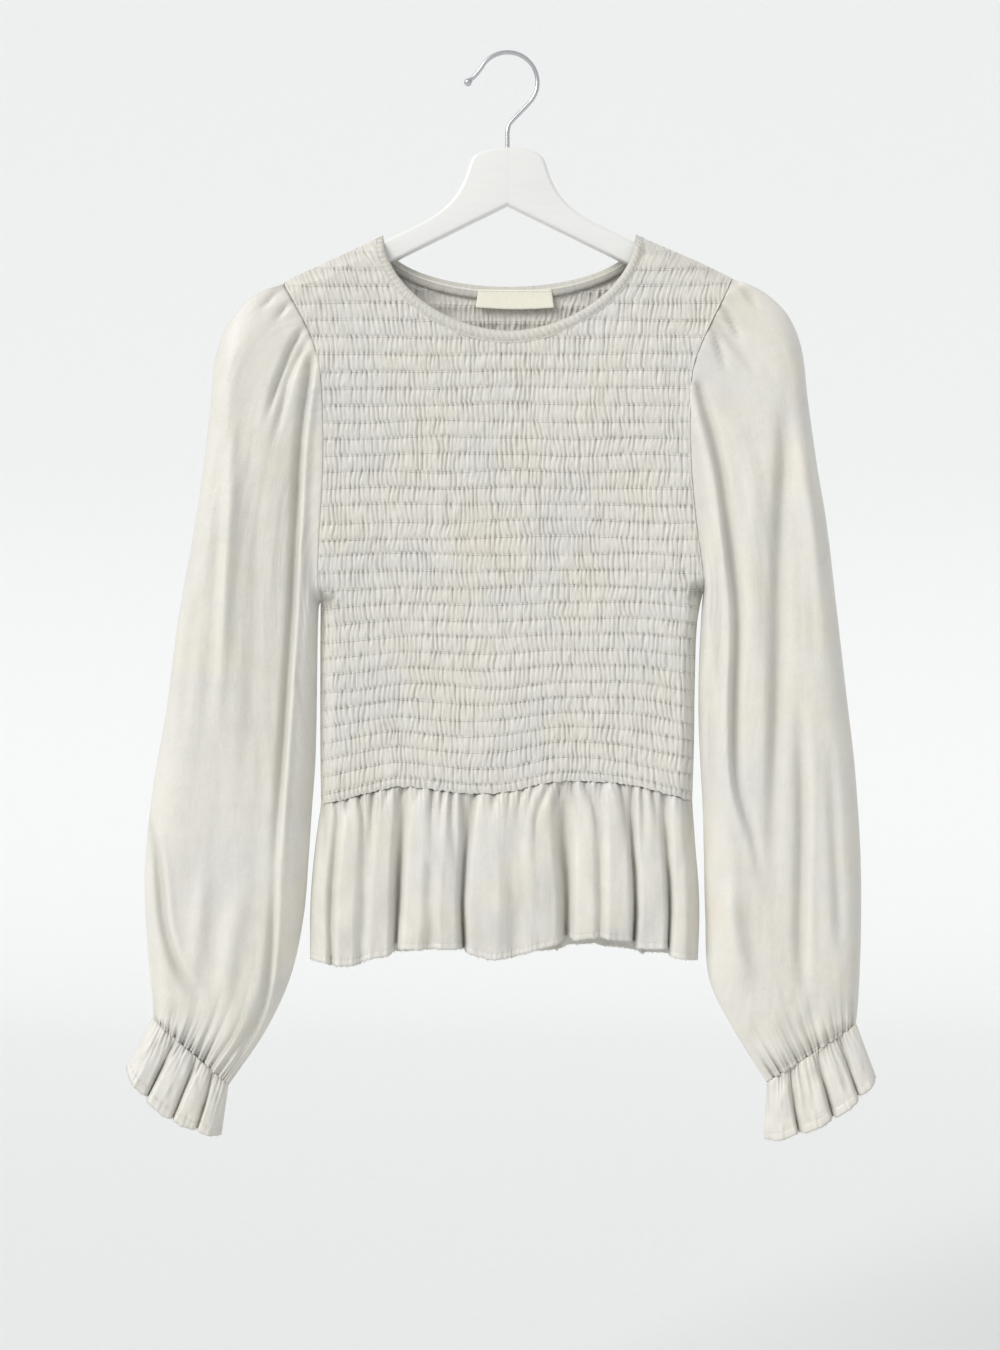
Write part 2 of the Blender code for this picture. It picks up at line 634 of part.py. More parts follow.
def sleeve_ring(rows, armhole, folds, along, inside):
    """Return one ring of a sleeve, of its outside or its plain inside, round from its outer edge."""
    outer_x, outer_down, inner_x, inner_down, half_depth = (
        read_table(rows, "along", column, along) for column in SleeveRow._fields[1:]
    )
    length = math.hypot(inner_x - outer_x, inner_down - outer_down)
    bow = 1.0 - ease(along / ARMHOLE_BOW_REACH)
    to_seam = 1.0 - ease(along / SEAM_DEPTH_REACH)
    places = across_places(length, along)
    edge_steps = len(EDGE_PLACES) - 1
    roll = max(places[edge_steps], 1.0)
    depth = half_depth - WALL if inside else half_depth
    ring = []
    sheet = sheet_indices(inside)
    for turn, index in enumerate(sheet + sheet[-2:0:-1]):
        face = -1 if turn < len(sheet) else 1
        place = places[index]
        on_edge = index in (0, SHEET_STEPS)
        tube = depth * rise(place, roll) * rise(length - place, roll)
        if inside:
            place = WALL + place * (length - 2 * WALL) / length
        fraction = place / length
        x = mix(outer_x, inner_x, fraction) + bow * armhole_bow(armhole, fraction)
        z = -mix(outer_down, inner_down, fraction)
        seam = body_depth(x, z) + (0.0 if inside else WALL)
        y = mix(tube, seam, to_seam)
        flat = ease(min(index, SHEET_STEPS - index) / edge_steps)
        y += flat * fold_height(folds, fraction, along)
        if not inside and index % 2 == 0:
            pleat = math.sin(math.pi * min(along / HEAD_PLEAT_REACH, 1.0)) ** 2
            y += flat * HEAD_PLEAT * (1.0 - fraction) * pleat
            y += flat * WRIST_GATHER * ease((along - WRIST_GATHER_FROM) / WRIST_GATHER_REACH)
        ring.append((x, 0.0 if on_edge else face * y, z))
    return ring


def add_sleeve(name, rows, armhole, folds):
    """Make a sleeve: a flat open tube, gathered at its head and its wrist, with a plain inside."""
    outer_alongs = [1.0 - (1.0 - step / SLEEVE_RINGS) ** RINGS_TO_WRIST for step in range(SLEEVE_RINGS + 1)]
    outer_alongs = [mix(along, along**RINGS_TO_HEAD, HEAD_RING_SHARE) for along in outer_alongs]
    inner_alongs = outer_alongs[:8] + outer_alongs[9:-3:2] + outer_alongs[-3:]
    outer_rings = [sleeve_ring(rows, armhole, folds, along, inside=False) for along in outer_alongs]
    inner_rings = [sleeve_ring(rows, armhole, folds, along, inside=True) for along in inner_alongs]
    sides = len(outer_rings[0])
    half = len(inner_rings[0])
    points = [point for ring in outer_rings + inner_rings for point in ring]
    shift = len(outer_rings) * sides
    faces = ring_faces(len(outer_rings), sides, closed=False)
    faces += [[index + shift for index in face] for face in ring_faces(len(inner_rings), half, closed=False)]
    last_outer = (len(outer_rings) - 1) * sides
    last_inner = shift + (len(inner_rings) - 1) * half
    sheet = sheet_indices(inside=True)
    stops = sheet + [2 * SHEET_STEPS - index for index in sheet[-2::-1]]
    for outer_start, inner_start in ((0, shift), (last_outer, last_inner)):
        for step, (first, last) in enumerate(zip(stops, stops[1:])):
            near = inner_start + step
            far = inner_start + (step + 1) % half
            rim = [outer_start + index % sides for index in range(first, last + 1)]
            faces.append([rim[0], rim[1], near])
            faces += [[here, after, far] for here, after in zip(rim[1:], rim[2:])]
            faces.append([rim[1], far, near])
    solid_object(name, points, faces, cloth())


def ruffle_ring(rows, corners, along, inset):
    """Return one ring of a wrist ruffle, of its outside (inset 0) or its inside (inset one wall)."""
    cuff = rows[-1]
    outward = math.copysign(1.0, cuff.outer_x)
    top_outer = (cuff.outer_x + outward * RUFFLE_OUTER_SHIFT, -cuff.outer_down - SEAM_GAP)
    top_inner = (cuff.inner_x + outward * RUFFLE_INNER_SHIFT, -cuff.inner_down - SEAM_GAP)
    outer = [mix(a, b, along) for a, b in zip(top_outer, corners[0])]
    inner = [mix(a, b, along) for a, b in zip(top_inner, corners[1])]
    length = math.hypot(inner[0] - outer[0], inner[1] - outer[1])
    across = ((inner[0] - outer[0]) / length, (inner[1] - outer[1]) / length)
    down = (-across[1] * outward, across[0] * outward)
    depth = mix(cuff.half_depth, RUFFLE_HALF_DEPTH, ease(along))
    ring = []
    indices = list(range(RUFFLE_STEPS + 1)) + list(range(RUFFLE_STEPS - 1, 0, -1))
    for turn, index in enumerate(indices):
        face = -1 if turn <= RUFFLE_STEPS else 1
        share = 0.5 - 0.5 * math.cos(math.pi * index / RUFFLE_STEPS)
        share = mix(share, index / RUFFLE_STEPS, RUFFLE_EVENNESS)
        place = inset + share * (length - 2 * inset)
        bow = RUFFLE_BOW * along**2 * math.sin(math.pi * share)
        x = outer[0] + across[0] * place + down[0] * bow
        z = outer[1] + across[1] * place + down[1] * bow
        y = (depth - inset) * math.sin(math.pi * share) ** 0.5
        wave = math.sin(RUFFLE_HALF_WAVES * math.pi * share + face)
        y += RUFFLE_WAVE * along**0.8 * math.sin(math.pi * share) * wave
        ring.append((x, 0.0 if index in (0, RUFFLE_STEPS) else face * y, z))
    return ring


def add_cuff_ruffle(name, rows, corners):
    """Make the fluted ruffle that falls from the wrist elastic."""
    alongs = [step / RUFFLE_RINGS for step in range(RUFFLE_RINGS + 1)]
    rings = [ruffle_ring(rows, corners, along, 0.0) for along in alongs]
    rings += [ruffle_ring(rows, corners, along, WALL) for along in reversed(alongs)]
    points = [point for ring in rings for point in ring]
    solid_object(name, points, ring_faces(len(rings), 2 * RUFFLE_STEPS, closed=True), cloth())


def peplum_depth(valleys, x, down_share, side_distance):
    """Return how far the inside of a peplum panel stands from the middle plane."""
    depth = mix(BODY_HALF_DEPTH, PEPLUM_RIDGE, down_share**PEPLUM_RIDGE_GROWTH)
    for valley in valleys:
        away = abs(x - valley.x) / valley.half_width
        if away < 1.0:
            depth -= valley.depth * down_share**PEPLUM_VALLEY_GROWTH * math.cos(0.5 * math.pi * away) ** 2
    return HALF_GAP + depth * rise(side_distance, ROLL)


def peplum_columns(valleys):
    """Return where a peplum's columns of points lie at the hem, close together in each valley."""
    left = PEPLUM_LEFT[-1].x
    right = PEPLUM_RIGHT[-1].x
    columns = [left + place for place in PEPLUM_EDGE_PLACES]
    columns += [right - place for place in PEPLUM_EDGE_PLACES]
    for valley in valleys:
        columns += [valley.x + share * valley.half_width for share in (-1.0, -0.5, 0.0, 0.5, 1.0)]
    columns.sort()
    spread = columns[:1]
    for column in columns[1:]:
        gap = column - spread[-1]
        if gap > PEPLUM_WIDEST:
            spread.append(spread[-1] + gap / 2)
        if gap > PEPLUM_NARROWEST:
            spread.append(column)
    return spread


def add_peplum(name, face, valleys, hem):
    """Make one panel of the gathered peplum, from the waist seam to the hem."""
    columns = peplum_columns(valleys)
    outer = []
    inner = []
    for row in range(PEPLUM_ROWS + 1):
        share = row / PEPLUM_ROWS
        for number, hem_x in enumerate(columns):
            across = (hem_x - columns[0]) / (columns[-1] - columns[0])
            waist_x = mix(WAIST[0].x, WAIST[-1].x, across)
            top = read_table(WAIST, "x", "down", waist_x) + SEAM_GAP
            down = mix(top, read_table(hem, "x", "down", hem_x), share)
            left = read_table(PEPLUM_LEFT, "down", "x", down)
            right = read_table(PEPLUM_RIGHT, "down", "x", down)
            x = mix(left, right, across)
            depth = peplum_depth(valleys, hem_x, share, min(x - left, right - x))
            gather = PEPLUM_GATHER * (number % 2) * (1.0 - share) ** 2
            outer.append((x, face * (depth + WALL + gather), -down))
            inner.append((x, face * depth, -down))
    wide = len(columns) - 1
    faces = sheet_faces(wide, PEPLUM_ROWS, 0) + sheet_faces(wide, PEPLUM_ROWS, len(outer))
    faces += border_faces(wide, PEPLUM_ROWS, len(outer))
    solid_object(name, outer + inner, faces, cloth())


def add_hanger_arm(name, side, hole):
    """Make one arm of the hanger: a rounded board that meets the other arm in the middle."""
    outline = [(HALF_GAP, HANGER_CROWN)] + [(row.x, row.z) for row in HANGER_TOP + HANGER_TIP]
    outline += [(HALF_GAP, HANGER_FORK)]
    shape = bmesh.new()
    front = [shape.verts.new((side * x * MILLIMETRE, -HANGER_HALF_THICKNESS * MILLIMETRE, z * MILLIMETRE))
             for x, z in outline]
    board = shape.faces.new(front)
    grown = bmesh.ops.extrude_face_region(shape, geom=[board])
    moved = [item for item in grown["geom"] if isinstance(item, bmesh.types.BMVert)]
    bmesh.ops.translate(shape, verts=moved, vec=(0.0, 2 * HANGER_HALF_THICKNESS * MILLIMETRE, 0.0))
    limit = SEAM_GAP * MILLIMETRE
    rounded = [
        edge for edge in shape.edges
        if abs(edge.verts[0].co.y - edge.verts[1].co.y) < limit / 2
        and max(abs(corner.co.x) for corner in edge.verts) > limit
    ]
    bmesh.ops.bevel(shape, geom=rounded, offset=HANGER_ROUNDING * MILLIMETRE, segments=HANGER_ROUNDING_STEPS,
                    profile=0.5, affect="EDGES")
    bmesh.ops.recalc_face_normals(shape, faces=shape.faces[:])
    mesh = bpy.data.meshes.new(name)
    shape.to_mesh(mesh)
    shape.free()
    mesh.shade_smooth()
    mesh.set_sharp_from_angle(angle=math.radians(SHARP_ANGLE))
    mesh.materials.append(material("white_paint", PAINT_COLOUR, 0.4))
    arm = bpy.data.objects.new(name, mesh)
    bpy.context.scene.collection.objects.link(arm)
    cut = arm.modifiers.new("shank hole", "BOOLEAN")
    cut.operation = "DIFFERENCE"
    cut.solver = "EXACT"
    cut.object = hole


def shank_hole():
    """Make the cutter for the hole that the hook's shank is driven into."""
    radius = SHANK_HOLE_RADIUS * MILLIMETRE
    shape = bmesh.new()
    bmesh.ops.create_cone(shape, cap_ends=True, segments=SHANK_HOLE_SIDES, radius1=radius, radius2=radius,
                          depth=SHANK_HOLE_CUTTER * MILLIMETRE)
    mesh = bpy.data.meshes.new("shank_hole")
    shape.to_mesh(mesh)
    shape.free()
    cutter = bpy.data.objects.new("shank_hole", mesh)
    cutter.location.z = (SHANK_BOTTOM - SEAM_GAP + SHANK_HOLE_CUTTER / 2) * MILLIMETRE
    cutter.hide_render = True
    cutter.display_type = "WIRE"
    bpy.context.scene.collection.objects.link(cutter)
    return cutter


def hook_route():
    """Return the hook's centre line, from the foot of its shank to its bead, with a swell at each point."""
    centre = WIRE_RADIUS - HOOK_RADIUS
    bend = []
    for degrees in range(HOOK_FROM_DEGREES, HOOK_TO_DEGREES, HOOK_STEP_DEGREES):
        angle = math.radians(degrees)
        bend.append(WireRow(HOOK_RADIUS * math.cos(angle), centre + HOOK_RADIUS * math.sin(angle), 1.0))
    return SHANK_ROUTE + bend + BEAD_ROUTE


def add_hanger_hook():
    """Make the bent steel wire hook."""
    line = bpy.data.curves.new("hanger_hook", "CURVE")
    line.dimensions = "3D"
    line.bevel_depth = WIRE_RADIUS * MILLIMETRE
    line.bevel_resolution = 2
    line.use_fill_caps = True
    route = hook_route()
    spline = line.splines.new("POLY")
    spline.points.add(len(route) - 1)
    for point, row in zip(spline.points, route):
        point.co = (row.x * MILLIMETRE, 0.0, row.z * MILLIMETRE, 1.0)
        point.radius = row.swell
    line.materials.append(material("steel", STEEL_COLOUR, 0.3, 1.0))
    hook = bpy.data.objects.new("hanger_hook", line)
    bpy.context.scene.collection.objects.link(hook)


def build_all():
    """Clear the scene and make every piece."""
    for item in list(bpy.data.objects):
        bpy.data.objects.remove(item)
    add_bodice("bodice_front", -1)
    add_bodice("bodice_back", 1)
    add_neck_binding()
    add_label()
    add_sleeve("sleeve_left", SLEEVE_LEFT, ARMHOLE_LEFT, FOLDS_LEFT)
    add_sleeve("sleeve_right", SLEEVE_RIGHT, ARMHOLE_RIGHT, FOLDS_RIGHT)
    add_cuff_ruffle("cuff_ruffle_left", SLEEVE_LEFT, RUFFLE_LEFT_CORNERS)
    add_cuff_ruffle("cuff_ruffle_right", SLEEVE_RIGHT, RUFFLE_RIGHT_CORNERS)
    add_peplum("peplum_front", -1, PEPLUM_VALLEYS_FRONT, HEM_FRONT)
    add_peplum("peplum_back", 1, PEPLUM_VALLEYS_BACK, HEM_BACK)
    hole = shank_hole()
    add_hanger_arm("hanger_arm_left", -1, hole)
    add_hanger_arm("hanger_arm_right", 1, hole)
    add_hanger_hook()


build_all()
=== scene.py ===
"""The looks of a smocked satin blouse that hangs from a white wooden hanger.

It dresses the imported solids: each cloth panel becomes a thin gathered shell on its solid's form, with its
seams, hems, labels and thread, and the hanger gets its paint and its wire. The front faces -Y, +X is to a
viewer's right and +Z is up. Lengths inside the functions are in millimetres from the top of the hook, and
"down" is the distance below it.
"""

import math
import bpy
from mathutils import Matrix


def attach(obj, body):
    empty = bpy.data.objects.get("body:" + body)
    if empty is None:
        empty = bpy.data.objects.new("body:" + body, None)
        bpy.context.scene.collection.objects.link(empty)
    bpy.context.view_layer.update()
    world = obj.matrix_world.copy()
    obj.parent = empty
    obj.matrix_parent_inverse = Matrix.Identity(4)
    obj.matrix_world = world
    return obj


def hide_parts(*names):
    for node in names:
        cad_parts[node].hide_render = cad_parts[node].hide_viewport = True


bl_info = {
    "name": "Smocked blouse",
    "version": (1, 0, 0),
    "blender": (4, 5, 0),
    "location": "3D View > Sidebar > Blouse",
    "description": "Makes the cloth, the sewing and the hanger of a smocked satin blouse",
    "category": "Add Mesh",
}

from collections import namedtuple

import bmesh
import bpy
import numpy as np
from bpy.props import FloatProperty, FloatVectorProperty, PointerProperty
from bpy.types import Operator, Panel, PropertyGroup
from mathutils import Vector

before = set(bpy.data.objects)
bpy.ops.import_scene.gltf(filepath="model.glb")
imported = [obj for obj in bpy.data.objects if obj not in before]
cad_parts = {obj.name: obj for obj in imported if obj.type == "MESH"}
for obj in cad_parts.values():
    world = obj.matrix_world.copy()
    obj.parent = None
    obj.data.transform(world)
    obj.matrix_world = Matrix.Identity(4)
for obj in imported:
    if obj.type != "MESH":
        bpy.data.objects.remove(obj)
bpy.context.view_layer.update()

MILLIMETRE = 0.001
BODY = "root"

# Form of the bodice, as in its solids: its wall and the gap in its seams, its half depth at the shoulders
# and lower down, how far below the shoulders it fills out, how far in from an edge it rolls over and how
# thick the edge stays, and how a neighbouring piece tucks under
WALL = 1.8
SEAM_GAP = 0.3
WALL_AND_GAP = WALL + SEAM_GAP / 2
SHOULDER_HALF_DEPTH = 9.4
BODY_HALF_DEPTH = 11.0
FILL_OUT = 70.0
ROLL = 13.0
EDGE_HALF = 0.2
TUCK = 1.5
TUCK_DEPTH = 1.0
TUCK_REACH = 1.2

# Neckline
NECK_CENTRE = 1.5
NECK_HALF_WIDTH = 98.5
NECK_DROP_FRONT = 76.0
NECK_DROP_BACK = 38.0
NECK_POWER_FRONT = 1.85
NECK_POWER_BACK = 2.0
BINDING_WIDTH = 7.0
BINDING_THICKNESS = 2.4
BINDING_CROWN = 0.9
BINDING_STEPS = 190
STITCHED_RING = 5.5

# Label: the ends of its sewn upper edge and of its free lower edge, its top, its height and its sag
LABEL_UPPER_ENDS = (-22.8, 34.6)
LABEL_LOWER_ENDS = (-25.0, 36.6)
LABEL_TOP = -181.6
LABEL_HEIGHT = 14.4
LABEL_SAG = 1.3
LABEL_THICKNESS = 0.0005

# Rows of elastic thread: the first one's height, their pitch at both ends and how many there are, and of
# the cloth that they gather its fullness, the height of its waist and its half width
FIRST_ROW = 142.0
ROW_PITCH_TOP = 13.4
ROW_PITCH_WAIST = 12.2
ROWS = 33.5
FULLNESS = 1.6
MEAN_WAIST = 571.0
PANEL_HALF_WIDTH = 179.0

# Puckers where the side seam meets the armhole, as x and down
UNDERARM_PUCKERS = ((-139.0, 426.0), (145.0, 420.0))
PUCKER_REACH = 8.0

# Lower edge of the smocked panels, drawn in where the peplum is sewn on
WAIST_REACH = 1.8
WAIST_SINK = 0.9
WAIST_RAGGED = 0.7

# Sleeves: their length along the outer edge and along the middle, and the elastic cord above the wrist seam
SLEEVE_OUTSIDE = 600.0
SLEEVE_MIDDLE = 560.0
CORD_AT = 5.0
CORD_WIDTH = 1.2

# Wrist ruffles, peplum and hanger
RUFFLE_LENGTH = 46.0
PEPLUM_LENGTH = 122.0
RUFFLE_BOW = 9.0
RUFFLE_HALF_DEPTH = 11.0
PEPLUM_HALF_DEPTH = 14.0
DEEP_VALLEY = 8.0
HANGER_HALF_THICKNESS = 5.5
GLUE_GAP = 0.03
WIRE_RADIUS = 1.7
HOOK_RADIUS = 23.4
BEAD_SWELL = 1.75
HANGER_CROWN = -72.9
HANGER_FORK = -118.3

# Fineness of the cloth: lines down a sheet and points across one face of it, and for the smocking the lines
# from one row of elastic to the next and the step across
SLEEVE_GRID = (104, 116)
RUFFLE_GRID = (30, 120)
PEPLUM_GRID = (44, 300)
SMOCKING_LINES = 7
FRONT_STEP = 0.70
BACK_STEP = 0.80

# Makes the highest lift of a crease's step, at 0.7 of its width, the one that its row gives
STEP_PEAK = 2.33

# Studio and camera, in metres
FLOOR_HEIGHT = -1.18
FLOOR_FRONT = -5.0
FLOOR_BACK = 2.6
SWEEP_RADIUS = 1.2
BACKDROP_TOP = 4.0
STUDIO_HALF_WIDTH = 6.0
CAMERA_PLACE = (-0.0059, -1.799, -0.484)
CAMERA_LENS = 61.5

# Thread of the stitches and of the frayed edges
THREAD_RADIUS = 0.19
FRAY_RADIUS = 0.10
FRAY_LENGTH = 2.0
FRAYS_PER_MM = 1.5

EdgeRow = namedtuple("EdgeRow", "down x")
WaistRow = namedtuple("WaistRow", "x down")
SleeveRow = namedtuple("SleeveRow", "along outer_x outer_down inner_x inner_down half_depth")
ValleyRow = namedtuple("ValleyRow", "x half_width depth")
FoldRow = namedtuple("FoldRow", "share half_width depth")
# A crease runs through its points (x, down). Its lift is the height of a ridge, or below 0 for a trough. Its
# step raises the cloth on the +X side of it and sinks the other side. Its start is 1 where it springs from a
# seam at full height and 0 where it fades in.
Crease = namedtuple("Crease", "points lift step width start")


def table(kind, rows):
    """Return a table whose rows are all of one kind."""
    return [kind(*row) for row in rows]


SHOULDER_LEFT = [(-97.0, -141.5), (-139.0, -161.0), (-166.0, -173.2), (-175.0, -178.5)]
SHOULDER_RIGHT = [(100.0, -140.8), (152.0, -163.0), (175.0, -174.5)]

ARMHOLE_LEFT = table(EdgeRow, [
    (178.5, -175.0), (196.0, -165.0), (216.0, -154.5), (234.0, -148.0), (253.0, -144.5), (285.0, -143.0),
    (324.0, -143.0), (380.0, -146.0), (408.0, -146.8), (427.0, -145.8),
])
ARMHOLE_RIGHT = table(EdgeRow, [
    (174.5, 175.0), (192.0, 167.0), (210.0, 158.0), (232.0, 148.0), (252.0, 142.5), (285.0, 141.3),
    (324.0, 142.3), (366.0, 146.0), (394.0, 150.0), (419.0, 152.5),
])
SIDE_LEFT = table(EdgeRow, [(427.0, -145.8), (465.0, -146.0), (543.0, -146.0), (585.0, -145.5)])
SIDE_RIGHT = table(EdgeRow, [
    (419.0, 152.5), (441.0, 148.0), (491.0, 146.0), (535.0, 145.5), (582.0, 144.0),
])
WAIST = table(WaistRow, [
    (-145.5, 585.0), (-127.0, 580.5), (-106.0, 575.0), (-84.0, 570.5), (-57.0, 573.0), (-29.0, 576.0),
    (-2.0, 575.0), (18.0, 570.5), (37.0, 566.5), (64.0, 566.5), (94.0, 569.0), (119.0, 575.0),
    (144.0, 582.0),
])
PEPLUM_LEFT = table(EdgeRow, [
    (585.3, -145.5), (613.0, -149.5), (642.0, -152.5), (669.0, -154.0), (705.0, -154.0),
])
PEPLUM_RIGHT = table(EdgeRow, [
    (582.3, 144.0), (618.0, 146.5), (648.0, 149.0), (671.0, 149.6), (706.0, 148.5),
])
HEM_FRONT = table(WaistRow, [
    (-154.0, 705.0), (-127.0, 708.5), (-95.0, 700.5), (-87.0, 692.0), (-79.0, 696.0), (-37.0, 695.8),
    (-29.0, 698.0), (-14.0, 704.0), (12.0, 699.5), (34.0, 691.5), (44.0, 686.5), (56.0, 689.0),
    (70.0, 687.0), (96.0, 691.5), (101.0, 695.5), (124.0, 696.0), (129.0, 701.5), (148.5, 706.0),
])
HEM_BACK = table(WaistRow, [
    (-154.0, 705.0), (-118.0, 699.0), (-80.0, 702.0), (-45.0, 697.5), (-8.0, 706.0), (22.0, 702.0),
    (60.0, 696.0), (102.0, 701.0), (148.5, 706.0),
])
PEPLUM_VALLEYS_FRONT = table(ValleyRow, [
    (-137.0, 8.0, 6.0), (-112.0, 9.0, 4.0), (-86.5, 10.0, 10.5), (-60.0, 10.0, 3.5), (-34.0, 9.0, 10.0),
    (4.0, 14.0, 3.5), (44.0, 13.0, 11.0), (72.0, 8.0, 4.5), (97.5, 8.0, 9.5), (124.5, 8.0, 8.5),
])
PEPLUM_VALLEYS_BACK = table(ValleyRow, [
    (-128.0, 9.0, 7.0), (-97.0, 10.0, 9.5), (-63.0, 9.0, 5.0), (-27.0, 12.0, 10.5), (12.0, 9.0, 4.5),
    (41.0, 10.0, 9.0), (76.0, 9.0, 5.5), (106.0, 10.0, 10.0), (132.0, 7.0, 5.0),
])
SLEEVE_LEFT = table(SleeveRow, [
    (0.000, -175.5, 178.7, -146.3, 427.2, 10.0),
    (0.032, -200.0, 190.0, -147.2, 432.0, 13.0),
    (0.067, -218.0, 210.0, -147.6, 440.0, 14.5),
    (0.108, -227.6, 236.0, -148.0, 452.0, 15.5),
    (0.170, -232.0, 277.0, -148.3, 470.0, 16.0),
    (0.245, -238.0, 328.0, -148.6, 495.0, 16.5),
    (0.324, -246.0, 379.0, -149.0, 522.0, 17.0),
    (0.420, -257.0, 441.0, -150.0, 554.0, 17.5),
    (0.525, -266.0, 510.0, -152.6, 590.0, 18.0),
    (0.627, -277.0, 575.0, -155.2, 628.0, 18.0),
    (0.733, -283.0, 640.0, -159.0, 672.0, 18.0),
    (0.838, -280.5, 700.0, -169.5, 720.0, 17.0),
    (0.919, -277.0, 736.0, -189.0, 762.0, 14.0),
    (1.000, -276.5, 751.8, -217.2, 803.2, 7.5),
])
SLEEVE_RIGHT = table(SleeveRow, [
    (0.000, 175.5, 174.7, 153.0, 419.3, 10.0),
    (0.032, 200.0, 186.0, 152.8, 426.0, 13.0),
    (0.067, 218.0, 202.5, 151.4, 437.0, 14.5),
    (0.108, 229.0, 228.0, 150.4, 452.0, 15.5),
    (0.170, 234.5, 271.0, 149.4, 471.0, 16.0),
    (0.245, 241.5, 321.0, 148.9, 496.0, 16.5),
    (0.324, 249.0, 366.0, 149.0, 522.0, 17.0),
    (0.420, 256.5, 430.0, 150.4, 554.0, 17.5),
    (0.525, 264.5, 500.0, 152.3, 590.0, 18.0),
    (0.627, 271.0, 557.0, 153.2, 628.0, 18.0),
    (0.733, 275.3, 622.0, 154.2, 672.0, 18.0),
    (0.838, 275.8, 680.0, 157.5, 722.0, 17.0),
    (0.919, 274.0, 731.0, 176.0, 760.0, 14.0),
    (1.000, 271.8, 756.4, 202.0, 801.7, 7.5),
])
RUFFLE_FOLDS_LEFT = table(FoldRow, [(0.30, 0.075, 7.5), (0.58, 0.065, 6.5), (0.80, 0.050, 4.5)])
RUFFLE_FOLDS_RIGHT = table(FoldRow, [(0.20, 0.060, 5.5), (0.45, 0.070, 7.5), (0.74, 0.065, 6.5)])
RUFFLE_LEFT_CORNERS = ((-297.0, -789.0), (-223.0, -842.0))
RUFFLE_RIGHT_CORNERS = ((287.0, -796.0), (200.0, -845.0))

CREASES_LEFT = [
    Crease(((-174.0, 179.0), (-190.0, 184.5), (-206.0, 193.0)), -4.0, 0.0, 2.2, 1.0),
    Crease(((-172.0, 182.0), (-183.0, 191.0), (-192.0, 203.0)), -3.2, 0.6, 2.0, 1.0),
    Crease(((-165.0, 190.0), (-173.0, 198.0), (-184.0, 214.0)), -3.2, -0.8, 2.2, 1.0),
    Crease(((-157.0, 210.0), (-170.0, 233.0), (-182.0, 266.0), (-188.0, 292.0)), -4.2, -1.6, 3.0, 1.0),
    Crease(((-152.0, 220.0), (-168.0, 252.0), (-174.0, 278.0), (-182.0, 312.0)), -3.4, 1.4, 3.4, 1.0),
    Crease(((-150.0, 240.0), (-158.3, 299.4), (-162.2, 372.7), (-166.1, 451.5), (-172.8, 553.6),
            (-176.7, 619.2), (-179.0, 675.0)), -2.6, 4.6, 4.2, 1.0),
    Crease(((-166.0, 300.0), (-172.0, 372.7), (-177.0, 451.5), (-184.0, 553.6), (-188.0, 640.0)),
           -2.6, 0.0, 11.0, 0.3),
    Crease(((-214.0, 260.0), (-216.0, 346.2), (-218.8, 411.7), (-221.1, 470.0), (-226.0, 560.0)),
           4.4, 1.6, 6.0, 0.0),
    Crease(((-196.0, 300.0), (-195.0, 400.0), (-198.0, 500.0), (-206.0, 620.0)), -2.4, 0.0, 8.0, 0.0),
    Crease(((-236.0, 400.0), (-247.7, 474.9), (-254.0, 560.0)), -2.6, 0.0, 6.5, 0.0),
    Crease(((-279.0, 588.0), (-267.9, 632.4), (-263.3, 676.9), (-252.3, 710.4), (-239.1, 729.1),
            (-234.0, 744.0)), -3.8, 3.2, 5.0, 0.5),
    Crease(((-178.2, 644.0), (-181.4, 700.0), (-188.0, 742.0), (-204.0, 775.0), (-219.0, 795.0)),
           -2.6, 2.2, 3.8, 0.3),
    Crease(((-206.0, 640.0), (-214.0, 700.0), (-226.0, 752.0)), 3.6, 0.0, 8.0, 0.0),
    Crease(((-230.0, 620.0), (-240.0, 690.0), (-244.0, 738.0)), 3.0, 0.0, 7.0, 0.0),
]
CREASES_RIGHT = [
    Crease(((174.0, 177.0), (184.0, 186.0), (196.0, 203.0)), -3.8, 0.0, 2.2, 1.0),
    Crease(((165.0, 195.0), (174.0, 210.0), (184.0, 232.0)), -3.8, 0.8, 2.4, 1.0),
    Crease(((156.0, 208.1), (163.0, 226.0), (172.0, 256.0)), -3.8, 0.8, 2.6, 1.0),
    Crease(((157.0, 206.0), (177.0, 230.0), (197.0, 256.0)), -3.0, 0.0, 3.0, 1.0),
    Crease(((213.3, 233.8), (211.8, 307.2), (207.9, 372.7), (205.5, 501.4), (202.4, 592.6),
            (202.4, 723.7)), -4.6, -2.4, 7.0, 0.0),
    Crease(((146.3, 262.7), (161.1, 320.4), (169.7, 385.9), (175.1, 438.2), (173.6, 501.4),
            (175.0, 566.9), (189.9, 619.2), (197.7, 671.4)), -2.8, -4.0, 5.0, 0.6),
    Crease(((157.2, 470.0), (157.6, 530.0), (158.0, 590.0)), -2.4, 0.0, 3.4, 0.0),
    Crease(((227.4, 470.0), (230.5, 592.6), (228.9, 692.5), (232.8, 740.0)), -3.8, 2.2, 6.0, 0.0),
    Crease(((248.4, 520.0), (254.7, 644.9), (257.8, 715.0)), -3.2, 0.0, 5.0, 0.0),
    Crease(((170.0, 640.0), (176.0, 690.0), (192.0, 735.0)), 4.4, 0.0, 8.0, 0.0),
    Crease(((189.0, 300.0), (190.0, 400.0), (190.0, 520.0)), 3.4, 0.0, 8.0, 0.0),
    Crease(((226.0, 280.0), (233.0, 360.0), (238.0, 450.0)), 3.0, 0.0, 8.0, 0.0),
]

